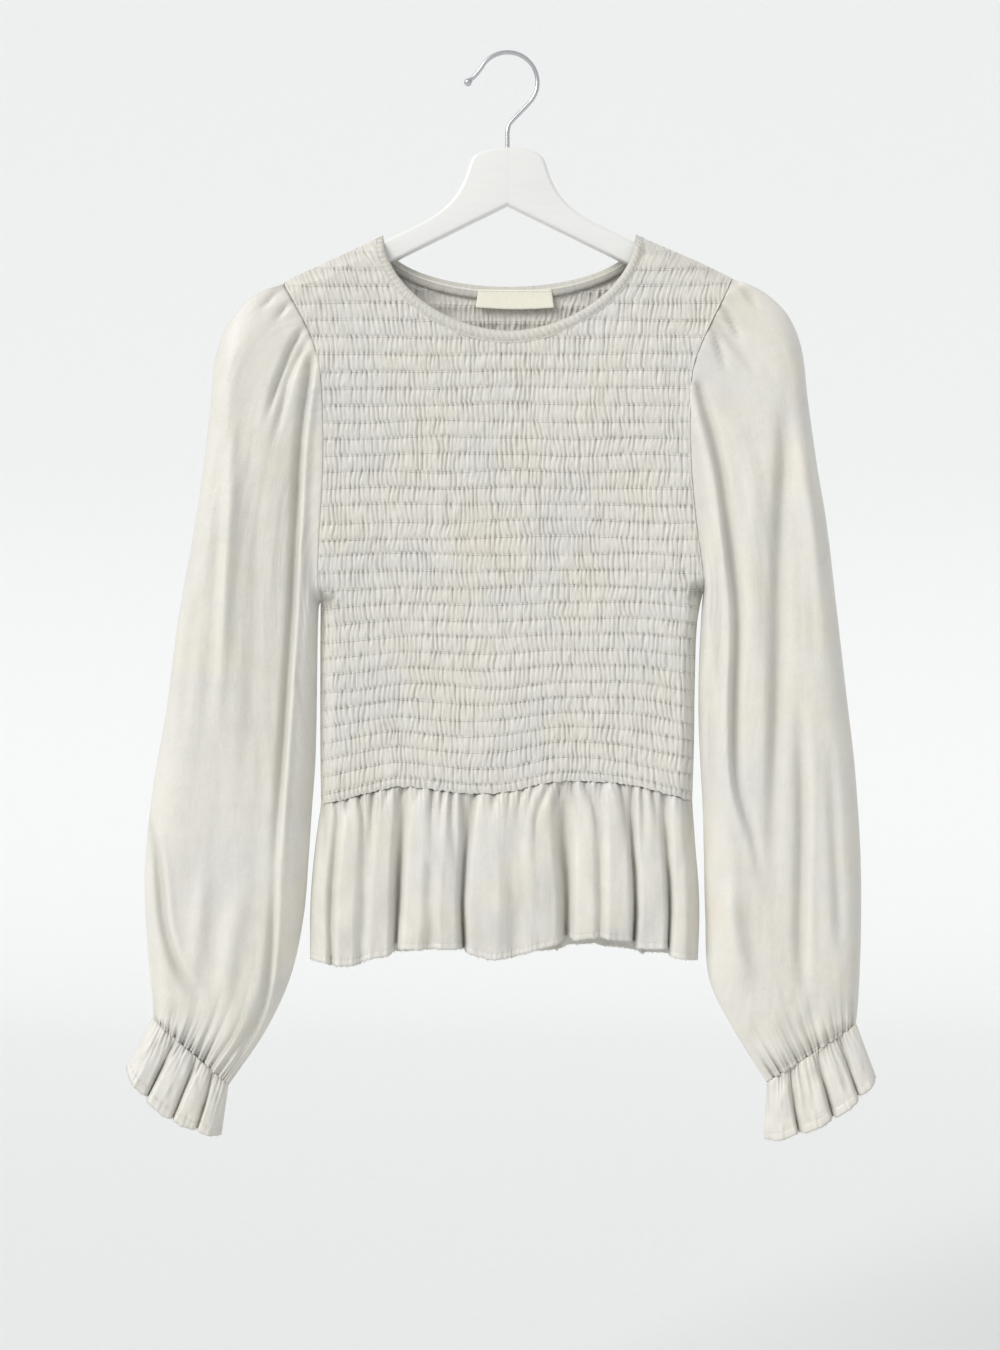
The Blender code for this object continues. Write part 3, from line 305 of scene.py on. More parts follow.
HANGER_TOP = [
    (9.0, -73.4), (18.0, -75.4), (25.0, -78.4), (28.6, -82.6), (31.4, -91.0), (35.5, -101.5),
    (41.5, -111.2), (50.5, -120.6), (62.5, -129.0), (78.0, -136.8), (95.6, -145.4),
]
HANGER_TIP = [
    (187.0, -190.1), (194.0, -194.2), (199.0, -199.4), (200.6, -205.6), (198.0, -211.0), (191.5, -212.4),
]


class BlouseSizes(PropertyGroup):
    """Sizes of the cloth, its relief and its sewing."""

    cloth_thickness: FloatProperty(
        name="Cloth thickness", description="Thickness of one layer of satin",
        default=0.00045, min=0.0002, max=0.001, precision=5, unit="LENGTH")
    gather_pitch: FloatProperty(
        name="Gather pitch", description="Distance between two gathers of the smocking",
        default=0.0037, min=0.002, max=0.008, precision=4, unit="LENGTH")
    puff_height: FloatProperty(
        name="Puff height", description="How far the cloth stands out between two rows of elastic",
        default=0.0007, min=0.0, max=0.003, precision=4, unit="LENGTH")
    gather_depth: FloatProperty(
        name="Gather depth", description="Depth of the narrow valleys between the gathers",
        default=0.0019, min=0.0, max=0.004, precision=4, unit="LENGTH")
    crease_share: FloatProperty(
        name="Creases", description="Depth of the sleeves' creases, as a share of the hanging blouse's",
        default=1.0, min=0.0, max=2.0, subtype="FACTOR")
    hem_width: FloatProperty(
        name="Hem width", description="Width of the turned and stitched hems",
        default=0.0052, min=0.002, max=0.012, precision=4, unit="LENGTH")
    stitch_length: FloatProperty(
        name="Stitch length", description="Length of one stitch of the hems and seams",
        default=0.0026, min=0.0015, max=0.005, precision=4, unit="LENGTH")


class BlouseColours(PropertyGroup):
    """Colours of the cloth, the hanger and the studio."""

    satin: FloatVectorProperty(
        name="Satin", description="Colour of the satin", size=3, min=0.0, max=1.0,
        default=(0.735, 0.712, 0.648), subtype="COLOR")
    # Painted shade: the satin's colour where creases, valleys, gathers and puckers lie in shade, mixed in by
    # each piece's per-point shade attribute
    satin_shade: FloatVectorProperty(
        name="Satin in creases", description="Colour of the satin where it is worn in creases", size=3,
        min=0.0, max=1.0, default=(0.40, 0.388, 0.345), subtype="COLOR")
    thread: FloatVectorProperty(
        name="Thread", description="Colour of the sewing thread", size=3, min=0.0, max=1.0,
        default=(0.74, 0.73, 0.66), subtype="COLOR")
    label: FloatVectorProperty(
        name="Label", description="Colour of the blank label's tape", size=3, min=0.0, max=1.0,
        default=(0.86, 0.83, 0.71), subtype="COLOR")
    paint: FloatVectorProperty(
        name="Paint", description="Colour of the hanger's lacquer", size=3, min=0.0, max=1.0,
        default=(0.80, 0.80, 0.775), subtype="COLOR")
    steel: FloatVectorProperty(
        name="Steel", description="Colour of the hook's wire", size=3, min=0.0, max=1.0,
        default=(0.56, 0.57, 0.59), subtype="COLOR")
    studio: FloatVectorProperty(
        name="Studio", description="Colour of the floor and the backdrop", size=3, min=0.0, max=1.0,
        default=(0.805, 0.815, 0.812), subtype="COLOR")


def rise(distance, run):
    """Return 0 at an edge and 1 from one run inwards, on a quarter of a sine."""
    return np.sin(0.5 * np.pi * np.clip(np.asarray(distance) / run, 0.0, 1.0))


def ease(amount):
    """Return a smooth step from 0 to 1."""
    amount = np.clip(amount, 0.0, 1.0)
    return amount * amount * (3.0 - 2.0 * amount)


def mix(first, second, amount):
    """Return the value that lies an amount of the way from the first to the second."""
    return first + (second - first) * amount


def bell(distance, width):
    """Return 1 at a place, with a soft fall to 0 within about two widths on both sides."""
    return np.exp(-((distance / width) ** 2))


def crowded(share, amount):
    """Return shares that crowd towards 0 and 1 by an amount."""
    return mix(share, 0.5 - 0.5 * np.cos(np.pi * share), amount)


def read_table(rows, key, column, at):
    """Read a column of a table at many keys, on a smooth curve through its rows."""
    keys = np.array([getattr(row, key) for row in rows])
    values = np.array([getattr(row, column) for row in rows])
    last = len(rows) - 1
    at = np.clip(at, keys[0], keys[last])
    start = np.clip(np.searchsorted(keys, at, side="right") - 1, 0, last - 1)
    before = np.maximum(np.arange(last + 1) - 1, 0)
    after = np.minimum(np.arange(last + 1) + 1, last)
    slopes = (values[after] - values[before]) / (keys[after] - keys[before])
    span = keys[start + 1] - keys[start]
    t = (at - keys[start]) / span
    here = (2 * t**3 - 3 * t**2 + 1) * values[start] + (3 * t**2 - 2 * t**3) * values[start + 1]
    return here + span * ((t**3 - 2 * t**2 + t) * slopes[start] + (t**3 - t**2) * slopes[start + 1])


def edge_points(rows, steps):
    """Return evenly spaced points down a table's edge, as x and z."""
    downs = np.linspace(rows[0].down, rows[-1].down, steps + 1)
    return list(zip(read_table(rows, "down", "x", downs), -downs))


def along_line(points, x):
    """Return the height of a shoulder line at an x."""
    ordered = sorted(points)
    return np.interp(x, [point[0] for point in ordered], [point[1] for point in ordered])


def segment_gap(x, z, start, end):
    """Return the vectors from a segment's nearest points to many places, and the shares along it."""
    run_x = end[0] - start[0]
    run_z = end[1] - start[1]
    share = ((x - start[0]) * run_x + (z - start[1]) * run_z) / (run_x**2 + run_z**2)
    share = np.clip(share, 0.0, 1.0)
    return x - mix(start[0], end[0], share), z - mix(start[1], end[1], share), share


def distance_to(points, x, z):
    """Return the distances from many places to a line of points."""
    best = np.full(np.shape(x), np.inf)
    for start, end in zip(points, points[1:]):
        best = np.minimum(best, np.hypot(*segment_gap(x, z, start, end)[:2]))
    return best


def ripple(x, z, reach_x, reach_z, seed):
    """Return smooth noise between -1 and 1, with waves about as wide and tall as the reaches."""
    lattice = np.random.default_rng(seed).uniform(-1.0, 1.0, (128, 128))
    across = np.asarray(x) / reach_x + 500.0
    down = np.asarray(z) / reach_z + 500.0
    column = np.floor(across).astype(int)
    row = np.floor(down).astype(int)
    over = ease(across - column)
    under = ease(down - row)
    top = mix(lattice[row % 128, column % 128], lattice[row % 128, (column + 1) % 128], over)
    low = mix(lattice[(row + 1) % 128, column % 128], lattice[(row + 1) % 128, (column + 1) % 128], over)
    return mix(top, low, under)


def row_ripple(x, row, reach, seed):
    """Return smooth noise along each row of elastic, joined by straight lines from row to row."""
    line = np.floor(row)
    return mix(ripple(x, line, reach, 1.0, seed), ripple(x, line + 1.0, reach, 1.0, seed), row - line)


def random_table(seed, low, high, rows, columns):
    """Return a table of random numbers."""
    return np.random.default_rng(seed).uniform(low, high, (rows, columns))


def smooth_line(points, steps):
    """Return points on a smooth curve through a few points."""
    points = np.array(points, float)
    ends = np.vstack([2 * points[0] - points[1], points, 2 * points[-1] - points[-2]])
    line = []
    for index in range(1, len(ends) - 2):
        p0, p1, p2, p3 = ends[index - 1:index + 3]
        for t in np.arange(steps) / steps:
            bend = (2 * p0 - 5 * p1 + 4 * p2 - p3) * t**2 + (3 * p1 - p0 - 3 * p2 + p3) * t**3
            line.append(p1 + 0.5 * ((p2 - p0) * t + bend))
    line.append(points[-1])
    return line


def crease_height(creases, x, z):
    """Return how far a list of creases raises the cloth at many places."""
    height = np.zeros_like(x)
    for crease in creases:
        line = smooth_line([(point[0], -point[1]) for point in crease.points], 5)
        best = np.full(x.shape, np.inf)
        side = np.zeros_like(x)
        along = np.zeros_like(x)
        for index, (start, end) in enumerate(zip(line, line[1:])):
            gap_x, gap_z, share = segment_gap(x, z, start, end)
            away = np.hypot(gap_x, gap_z)
            near = away < best
            turn = -gap_x * (end[1] - start[1]) + gap_z * (end[0] - start[0])
            best = np.where(near, away, best)
            side = np.where(near, np.where(turn < 0.0, -1.0, 1.0), side)
            along = np.where(near, (index + share) / (len(line) - 1), along)
        fade = ease(along / 0.3 + crease.start) * ease((1.0 - along) / 0.4)
        away = best / crease.width
        height += fade * bell(away, 1.0) * (crease.lift + crease.step * side * away * STEP_PEAK)
    return height


def gathers(phase, reach, distance, depth, seed):
    """Return narrow valleys that fade with the distance from a seam, each one as far as its own reach."""
    nearest = np.rint(phase).astype(int)
    reaches = random_table(seed, 0.25, 1.0, 1, 512)[0][nearest % 512] * reach
    depths = random_table(seed + 1, 0.35, 1.0, 1, 512)[0][nearest % 512] * depth
    valley = (1.0 - 2.0 * np.abs(phase - nearest)) ** 1.6
    return -depths * valley * np.exp(-((distance / reaches) ** 1.4))


SIDE_LINES = (edge_points(SIDE_LEFT, 6), edge_points(SIDE_RIGHT, 6))


def seam_distances(x, z):
    """Return how far places lie from the shoulder seams and from the side seams."""
    shoulder = np.minimum(distance_to(SHOULDER_LEFT, x, z), distance_to(SHOULDER_RIGHT, x, z))
    side = np.minimum(distance_to(SIDE_LINES[0], x, z), distance_to(SIDE_LINES[1], x, z))
    return shoulder, side


def cloth_depth(x, z):
    """Return how far the outside of a bodice panel stands from the middle plane, before its relief."""
    shoulder, side = seam_distances(x, z)
    full = mix(SHOULDER_HALF_DEPTH, BODY_HALF_DEPTH, ease((shoulder - ROLL) / FILL_OUT))
    full = full + WALL_AND_GAP - EDGE_HALF
    return EDGE_HALF + full * rise(np.minimum(shoulder, side), ROLL)


def neck_point(face, t, outward):
    """Return points of the neckline, from the left shoulder (t = 0) to the right one (t = 1)."""
    drop = NECK_DROP_FRONT if face < 0 else NECK_DROP_BACK
    power = 2.0 / (NECK_POWER_FRONT if face < 0 else NECK_POWER_BACK)
    swing = np.cos(np.pi * t)
    swing = np.sign(swing) * np.abs(swing) ** power
    x = NECK_CENTRE - (NECK_HALF_WIDTH + outward) * swing
    left = along_line(SHOULDER_LEFT, NECK_CENTRE - NECK_HALF_WIDTH - outward)
    right = along_line(SHOULDER_RIGHT, NECK_CENTRE + NECK_HALF_WIDTH + outward)
    level = mix(left, right, (1.0 - swing) / 2.0)
    return x, level - (drop + outward) * np.maximum(np.sin(np.pi * t), 0.0) ** power


def neck_steps(count):
    """Return places along the neckline that crowd towards both shoulders."""
    share = np.linspace(0.0, 1.0, count + 1)
    near = 0.5 * (2.0 * np.minimum(share, 1.0 - share)) ** 1.5
    return np.where(share < 0.5, near, 1.0 - near)


def add_node(tree, kind, inputs=None, **settings):
    """Add a shader node with some settings and input values."""
    made = tree.nodes.new(kind)
    for key, value in settings.items():
        setattr(made, key, value)
    for key, value in (inputs or {}).items():
        made.inputs[key].default_value = value
    return made


def new_material(name, colour, roughness, **inputs):
    """Return a new material, its node tree and its shader."""
    made = bpy.data.materials.new(name)
    made.use_nodes = True
    made.diffuse_color = (*colour, 1.0)
    shader = made.node_tree.nodes["Principled BSDF"]
    shader.inputs["Base Color"].default_value = (*colour, 1.0)
    shader.inputs["Roughness"].default_value = roughness
    for key, value in inputs.items():
        shader.inputs[key.replace("_", " ")].default_value = value
    return made, made.node_tree, shader


def noise(tree, source, scale, detail, stretch=(1.0, 1.0, 1.0)):
    """Return a noise texture's output, stretched along its coordinates."""
    mapping = add_node(tree, "ShaderNodeMapping", {"Scale": stretch})
    texture = add_node(tree, "ShaderNodeTexNoise", {"Scale": scale, "Detail": detail, "Roughness": 0.55})
    tree.links.new(source, mapping.inputs["Vector"])
    tree.links.new(mapping.outputs["Vector"], texture.inputs["Vector"])
    return texture.outputs["Fac"]


def ranged(tree, value, low, high, out_low, out_high):
    """Return a value moved from one range to another."""
    made = add_node(tree, "ShaderNodeMapRange",
                    {"From Min": low, "From Max": high, "To Min": out_low, "To Max": out_high})
    tree.links.new(value, made.inputs["Value"])
    return made.outputs["Result"]


def tinted(tree, colour, other, amount):
    """Return a colour output that goes from a colour output to another colour by an amount output."""
    made = add_node(tree, "ShaderNodeMix", data_type="RGBA")
    for socket in made.inputs:
        if socket.type == "RGBA" and socket.name == "B":
            socket.default_value = (*other, 1.0)
    tree.links.new(amount, made.inputs[0])
    if isinstance(colour, tuple):
        made.inputs[6].default_value = (*colour, 1.0)
    else:
        tree.links.new(colour, made.inputs[6])
    return made.outputs[2]


def shaded(colour, *shares):
    """Return a colour times one share, or times a share for each channel."""
    return tuple(np.minimum(1.0, np.array(colour) * shares))


def darkened(tree, shader, base, share, pattern, low, high, amount):
    """Colour a shader with its base colour, darker by a share where a pattern is high."""
    colour = tinted(tree, base, shaded(base, share), ranged(tree, pattern, low, high, 0.0, amount))
    tree.links.new(colour, shader.inputs["Base Color"])


def object_place(tree):
    """Return the coordinates of a place on its piece, in metres."""
    return add_node(tree, "ShaderNodeTexCoord").outputs["Object"]


def cloth_place(tree):
    """Return the coordinates of a place on its flat cloth, in metres."""
    return add_node(tree, "ShaderNodeUVMap", uv_map="cloth").outputs["UV"]


def bumped(tree, shader, layers):
    """Put bump layers on a shader, each a height output and its depth in metres."""
    normal = None
    for height, depth in layers:
        bump = add_node(tree, "ShaderNodeBump", {"Strength": 1.0, "Distance": depth})
        tree.links.new(height, bump.inputs["Height"])
        if normal:
            tree.links.new(normal, bump.inputs["Normal"])
        normal = bump.outputs["Normal"]
    tree.links.new(normal, shader.inputs["Normal"])


def satin_material(name, colours, smocked):
    """Return the washed satin's material: soft sheen, fine weave, faint creases, uneven dye and painted
    shade.
    """
    found = bpy.data.materials.get(name)
    if found:
        return found
    satin = tuple(colours.satin)
    made, tree, shader = new_material(
        name, satin, 0.46, Sheen_Weight=0.18, Sheen_Roughness=0.45, Anisotropic=0.35,
        Specular_IOR_Level=0.42)
    place = object_place(tree)
    cloth = cloth_place(tree)
    shade = tuple(colours.satin_shade)
    # A darker copy of the satin, for its own random mottling, slubs and grain, and for the painted shade of
    # the streaks below
    worn_and_shaded = shaded(satin, 0.80)
    grain = noise(tree, place, 900.0, 2.0)
    tints = [
        (shaded(satin, 0.93, 0.945, 0.99), noise(tree, place, 13.0, 3.0), 0.40, 0.65, 0.8),
        (shaded(satin, 1.0, 0.965, 0.89), noise(tree, place, 22.0, 3.0), 0.50, 0.75, 0.8),
        (worn_and_shaded, noise(tree, place, 62.0, 4.0), 0.46, 0.66, 0.22),
        (worn_and_shaded, noise(tree, cloth, 60.0, 2.0, (22.0, 1.0, 1.0)), 0.45, 0.8, 0.10),
        (worn_and_shaded, grain, 0.40, 0.75, 0.30),
    ]
    if smocked:
        # Painted shade: thin dark streaks down the gathers, like the shadows of their fine folds; the same
        # streaks are also a bump
        streaks = noise(tree, cloth, 480.0, 3.0, (1.0, 0.13, 1.0))
        tints.append((worn_and_shaded, streaks, 0.50, 0.34, 0.5))
    else:
        # Painted shade: broad darker streaks down the hanging cloth, in place of the light and dark bands of
        # its sheen
        tints.insert(2, (worn_and_shaded, noise(tree, cloth, 26.0, 3.0, (2.0, 0.22, 1.0)), 0.44, 0.66, 0.22))
    colour = satin
    for other, pattern, low, high, amount in tints:
        colour = tinted(tree, colour, other, ranged(tree, pattern, low, high, 0.0, amount))
    # Painted shade in creases, valleys, gathers and puckers, as strong as each piece's per-point shade
    # attribute
    pinch = add_node(tree, "ShaderNodeAttribute", attribute_name="pinch").outputs["Fac"]
    colour = tinted(tree, colour, shade, pinch)
    if smocked:
        rows = elastic_rows(tree, cloth)
        # Painted shade on both flanks of each elastic row; the thin lighter line on the row itself is its
        # thread
        colour = tinted(tree, colour, shade, ranged(tree, rows, 0.035, 0.085, 0.15, 0.0))
        colour = tinted(tree, colour, shaded(satin, 1.12), ranged(tree, rows, 0.012, 0.030, 0.75, 0.0))
    tree.links.new(colour, shader.inputs["Base Color"])
    gloss = (0.36, 0.52) if smocked else (0.30, 0.45)
    patches = noise(tree, place, 40.0, 2.0)
    tree.links.new(ranged(tree, patches, 0.3, 0.7, *gloss), shader.inputs["Roughness"])
    crinkle = noise(tree, place, 240.0 if smocked else 130.0, 4.0)
    weft = noise(tree, cloth, 90.0, 2.0, (26.0, 2.0, 1.0))
    layers = [(crinkle, 0.0005), (weft, 0.00012), (grain, 0.00008)]
    if not smocked:
        layers.insert(0, (noise(tree, cloth, 30.0, 2.0, (1.8, 0.5, 1.0)), 0.0008))
    if smocked:
        layers[:0] = [(ranged(tree, rows, 0.02, 0.06, 1.0, 0.0), 0.0003), (streaks, 0.0008)]
    bumped(tree, shader, layers)
    return made


def elastic_rows(tree, cloth):
    """Return how far a place lies from the nearest row of elastic, as a share of the rows' pitch."""
    split = add_node(tree, "ShaderNodeSeparateXYZ")
    tree.links.new(cloth, split.inputs["Vector"])
    per_metre = 1.0 / (ROW_PITCH_TOP * MILLIMETRE)
    pitches = add_node(tree, "ShaderNodeMath", {1: per_metre}, operation="MULTIPLY")
    tree.links.new(split.outputs["Y"], pitches.inputs[0])
    away = add_node(tree, "ShaderNodeMath", {1: 0.5}, operation="PINGPONG")
    tree.links.new(pitches.outputs[0], away.inputs[0])
    return away.outputs[0]


def label_material(colours):
    """Return the label's matt woven tape."""
    base = tuple(colours.label)
    made, tree, shader = new_material("label_weave", base, 0.85, Sheen_Weight=0.1)
    cloth = cloth_place(tree)
    warp = noise(tree, cloth, 160.0, 1.0, (14.0, 1.0, 1.0))
    weft = noise(tree, cloth, 160.0, 1.0, (1.0, 14.0, 1.0))
    darkened(tree, shader, base, 0.88, warp, 0.4, 0.7, 0.5)
    bumped(tree, shader, [(warp, 0.00012), (weft, 0.00012)])
    return made


def paint_material(colours):
    """Return the hanger's white lacquer over wood, with a faint grain and small unevenness."""
    base = tuple(colours.paint)
    made, tree, shader = new_material("hanger_lacquer", base, 0.36, Coat_Weight=0.25, Coat_Roughness=0.2)
    place = object_place(tree)
    grain = noise(tree, place, 30.0, 3.0, (1.0, 6.0, 9.0))
    darkened(tree, shader, base, 0.96, grain, 0.4, 0.7, 0.6)
    tree.links.new(ranged(tree, grain, 0.3, 0.7, 0.30, 0.42), shader.inputs["Roughness"])
    bumped(tree, shader, [(grain, 0.0002), (noise(tree, place, 700.0, 2.0), 0.00004)])
    return made


def steel_material(colours):
    """Return the hook's bright drawn wire."""
    base = tuple(colours.steel)
    made, tree, shader = new_material("hook_wire", base, 0.28, Metallic=1.0)
    drawn = noise(tree, object_place(tree), 260.0, 3.0)
    tree.links.new(ranged(tree, drawn, 0.3, 0.7, 0.24, 0.31), shader.inputs["Roughness"])
    darkened(tree, shader, base, 0.8, drawn, 0.45, 0.75, 0.2)
    bumped(tree, shader, [(drawn, 0.00001)])
    return made


def thread_material(colours):
    """Return the twisted sewing thread."""
    found = bpy.data.materials.get("sewing_thread")
    if found:
        return found
    base = tuple(colours.thread)
    made, tree, shader = new_material("sewing_thread", base, 0.6, Sheen_Weight=0.2)
    twist = noise(tree, object_place(tree), 1500.0, 2.0)
    darkened(tree, shader, base, 0.75, twist, 0.4, 0.7, 0.6)
    bumped(tree, shader, [(twist, 0.00008)])
    return made


def grid_quads(rows, columns, towards_front, closed=False):
    """Return the quads of a grid of points, as rows of indices, facing -Y or +Y."""
    index = np.arange(rows * columns).reshape(rows, columns)
    if closed:
        index = np.hstack([index, index[:, :1]])
    corners = [index[:-1, :-1], index[1:, :-1], index[1:, 1:], index[:-1, 1:]]
    if not towards_front:
        corners.reverse()
    return np.stack(corners, axis=-1).reshape(-1, 4)


def mesh_object(name, points, faces, uvs, surface, pinch=None):
    """Make a smooth mesh object from points in millimetres, with its cloth coordinates in metres."""
    mesh = bpy.data.meshes.new(name)
    faces = faces if isinstance(faces, list) else faces.tolist()
    mesh.from_pydata((points * MILLIMETRE).tolist(), [], faces)
    layer = mesh.uv_layers.new(name="cloth")
    corners = np.zeros(len(mesh.loops), np.int32)
    mesh.loops.foreach_get("vertex_index", corners)
    layer.data.foreach_set("uv", (uvs[corners] * MILLIMETRE).astype(np.float32).ravel())
    # Per-point painted shade, which the satin mixes into its colour
    shade = mesh.attributes.new("pinch", "FLOAT", "POINT")
    values = np.zeros(len(points)) if pinch is None else pinch
    shade.data.foreach_set("value", values.astype(np.float32))
    mesh.shade_smooth()
    mesh.materials.append(surface)
    made = bpy.data.objects.new(name, mesh)
    bpy.context.scene.collection.objects.link(made)
    return made


def thicken(cloth, thickness):
    """Give a sheet its thickness, inwards from its outside."""
    layer = cloth.modifiers.new("cloth thickness", "SOLIDIFY")
    layer.thickness = thickness
    layer.offset = -1.0


def sewn_line(grid, row, closed=False):
    """Return a line that runs along a row of a grid of points, and its outward directions."""
    low = int(row)
    line = mix(grid[low], grid[low + 1], row - low)
    down = grid[low + 1] - grid[low]
    if closed:
        line = np.vstack([line, line[:1]])
        down = np.vstack([down, down[:1]])
    outward = np.cross(np.gradient(line, axis=0), down)
    outward /= np.linalg.norm(outward, axis=1, keepdims=True)
    quarter = len(line) // 4
    return line, outward * np.sign(outward[quarter, 1] * line[quarter, 1])


def along_path(line, values, stations):
    """Read values of a line's points at distances along it."""
    arc = np.concatenate([[0.0], np.cumsum(np.linalg.norm(np.diff(line, axis=0), axis=1))])
    return np.stack([np.interp(stations, arc, values[:, axis]) for axis in range(3)], axis=-1), arc[-1]


def thread_pieces(name, blocks, shape, surface):
    """Make many like bits of thread as one piece, from blocks of their points and the faces of one bit."""
    points = np.concatenate(blocks)
    corners = points.shape[1]
    faces = [
        tuple(corners * number + corner for corner in face)
        for number in range(len(points))
        for face in shape
    ]
    points = points.reshape(-1, 3)
    return stands_for(mesh_object(name, points, faces, points[:, [0, 2]], surface), [])


def stitches(name, lines, sizes, surface):
    """Make rows of thread stitches along sewn lines, as one piece."""
    length = sizes.stitch_length / MILLIMETRE
    shares = np.array([0.1, 0.3, 0.7, 0.9])
    blocks = []
    for line, outward in lines:
        total = along_path(line, line, 0.0)[1]
        stations = np.arange(0.0, total - length, length)[:, None] + length * shares
        place = along_path(line, line, stations)[0]
        up = along_path(line, outward, stations)[0]
        ahead = place[:, 3:] - place[:, :1]
        side = np.cross(ahead / np.linalg.norm(ahead, axis=-1, keepdims=True), up)
        middle = place[:, 1:3] + THREAD_RADIUS * up[:, 1:3]
        side = THREAD_RADIUS * side[:, 1:3]
        high = THREAD_RADIUS * up[:, 1:3]
        rings = np.stack([middle + side, middle + high, middle - side, middle - high], axis=2)
        sunk = place[:, [0, 3]] - THREAD_RADIUS * up[:, [0, 3]]
        blocks.append(np.concatenate([sunk[:, :1], rings.reshape(-1, 8, 3), sunk[:, 1:]], axis=1))
    shape = []
    for side, turn in ((0, 1), (1, 2), (2, 3), (3, 0)):
        shape += [(0, 1 + side, 1 + turn), (9, 5 + turn, 5 + side)]
        shape.append((1 + side, 5 + side, 5 + turn, 1 + turn))
    return thread_pieces(name, blocks, shape, surface)


def frayed_edge(name, edges, seed, surface):
    """Make the short loose threads below raw edges, as one piece of thin spikes."""
    draw = np.random.default_rng(seed)
    blocks = []
    for edge in edges:
        total = along_path(edge, edge, 0.0)[1]
        stations = draw.uniform(0.0, total, int(total * FRAYS_PER_MM))
        root = along_path(edge, edge, stations)[0]
        lean = draw.uniform(-0.8, 0.8, (len(stations), 1)) * np.array([1.0, 0.4, 0.0])
        tip = root + (lean + (0.0, 0.0, -1.0)) * draw.uniform(0.5, FRAY_LENGTH, (len(stations), 1))
        blocks.append(np.stack([
            root + (-FRAY_RADIUS, -FRAY_RADIUS, 0.3), root + (FRAY_RADIUS, -FRAY_RADIUS, 0.3),
            root + (0.0, FRAY_RADIUS, 0.3), tip], axis=1))
    return thread_pieces(name, blocks, ((0, 1, 3), (1, 2, 3), (2, 0, 3), (0, 2, 1)), surface)


def stands_for(piece, nodes):
    """Put a piece on the part in place of its solids."""
    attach(piece, BODY)
    if nodes:
        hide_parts(*nodes)
    return piece


def row_down(row, x, seed):
    """Return how far down a row of elastic lies at an x."""
    even = FIRST_ROW + ROW_PITCH_TOP * row - 0.5 * (ROW_PITCH_TOP - ROW_PITCH_WAIST) / ROWS * row**2
    bend = np.clip(row / ROWS, 0.0, 1.0) ** 3
    waist = read_table(WAIST, "x", "down", x) - MEAN_WAIST
    return even + bend * waist + 1.5 * ripple(x, row, 55.0, 1.6, seed)


def smocking(x, row, seed, sizes):
    """Return the smocking's lift in millimetres, its painted shade in valleys and by the rows, and its
    gather.
    """
    pitch = sizes.gather_pitch / MILLIMETRE
    between = row - np.floor(row)
    line = np.floor(row).astype(int)
    arch = np.sin(np.pi * between)
    puff = arch**0.42
    upper = np.clip(8.0 - row, 0.0, None)
    lean = 0.030 * np.clip(x / 110.0, -1.0, 1.0) * upper**2 * ROW_PITCH_TOP / pitch
    phase = x / pitch + 60.0 - lean + 0.40 * row_ripple(x, row, 23.0, seed + 1)
    phase = phase + 0.30 * row_ripple(x, row, 7.5, seed + 2) + 0.12 * ripple(x, row, 6.0, 0.5, seed + 8)
    phase = phase + 0.70 * ripple(x, line, 48.0, 1.0, seed + 11)
    nearest = np.rint(phase).astype(int)
    away = np.abs(phase - nearest)
    narrow = bell(away, 0.16)
    broad = (1.0 - 2.0 * away) ** 1.3
    depths = random_table(seed + 3, 0.15, 1.0, 64, 256)
    depth = mix(depths[line % 64, nearest % 256], depths[(line + 1) % 64, nearest % 256], ease(between))
    middle = random_table(seed + 4, -0.55, 0.35, 64, 256)[line % 64, nearest % 256]
    depth = np.clip(depth + middle * arch, 0.0, 1.0)
    pull = bell(between, 0.30) + 0.45 * bell(1.0 - between, 0.14)
    depth = depth * (0.62 + 0.38 * pull) + 0.20 * pull
    patch = 1.0 + 0.25 * ripple(x, row, 30.0, 3.0, seed + 5)
    height = sizes.puff_height / MILLIMETRE * puff * patch
    height = height + 0.45 * puff * ripple(x, row, 5.0, 0.45, seed + 6)
    height = height - sizes.gather_depth / MILLIMETRE * depth * (0.62 * narrow + 0.38 * broad)
    height = height + 0.9 * ripple(x, row, 75.0, 9.0, seed + 7)
    # Painted shade in the narrow gather valleys and towards each row of elastic
    pinch = np.clip(0.66 * narrow * depth + 0.05 * (1.0 - puff) ** 2, 0.0, 1.0)
    return height, pinch, phase


def bodice_outline(face):
    """Return the outline of a smocked panel, once round from the left of the neck, under the binding."""
    neck = list(zip(*neck_point(face, neck_steps(60), BINDING_WIDTH - 1.5)))
    left = [(x, along_line(SHOULDER_LEFT, x)) for x in np.linspace(neck[0][0], SHOULDER_LEFT[-1][0], 12)]
    right = [(x, along_line(SHOULDER_RIGHT, x)) for x in np.linspace(SHOULDER_RIGHT[-1][0], neck[-1][0], 12)]
    waist = np.linspace(WAIST[0].x, WAIST[-1].x, 61)
    round_trip = [
        left, edge_points(ARMHOLE_LEFT, 30), edge_points(SIDE_LEFT, 14),
        list(zip(waist, -read_table(WAIST, "x", "down", waist))),
        edge_points(SIDE_RIGHT, 14)[::-1], edge_points(ARMHOLE_RIGHT, 30)[::-1], right, neck[::-1],
    ]
    return [point for stretch in round_trip for point in stretch[:-1]]


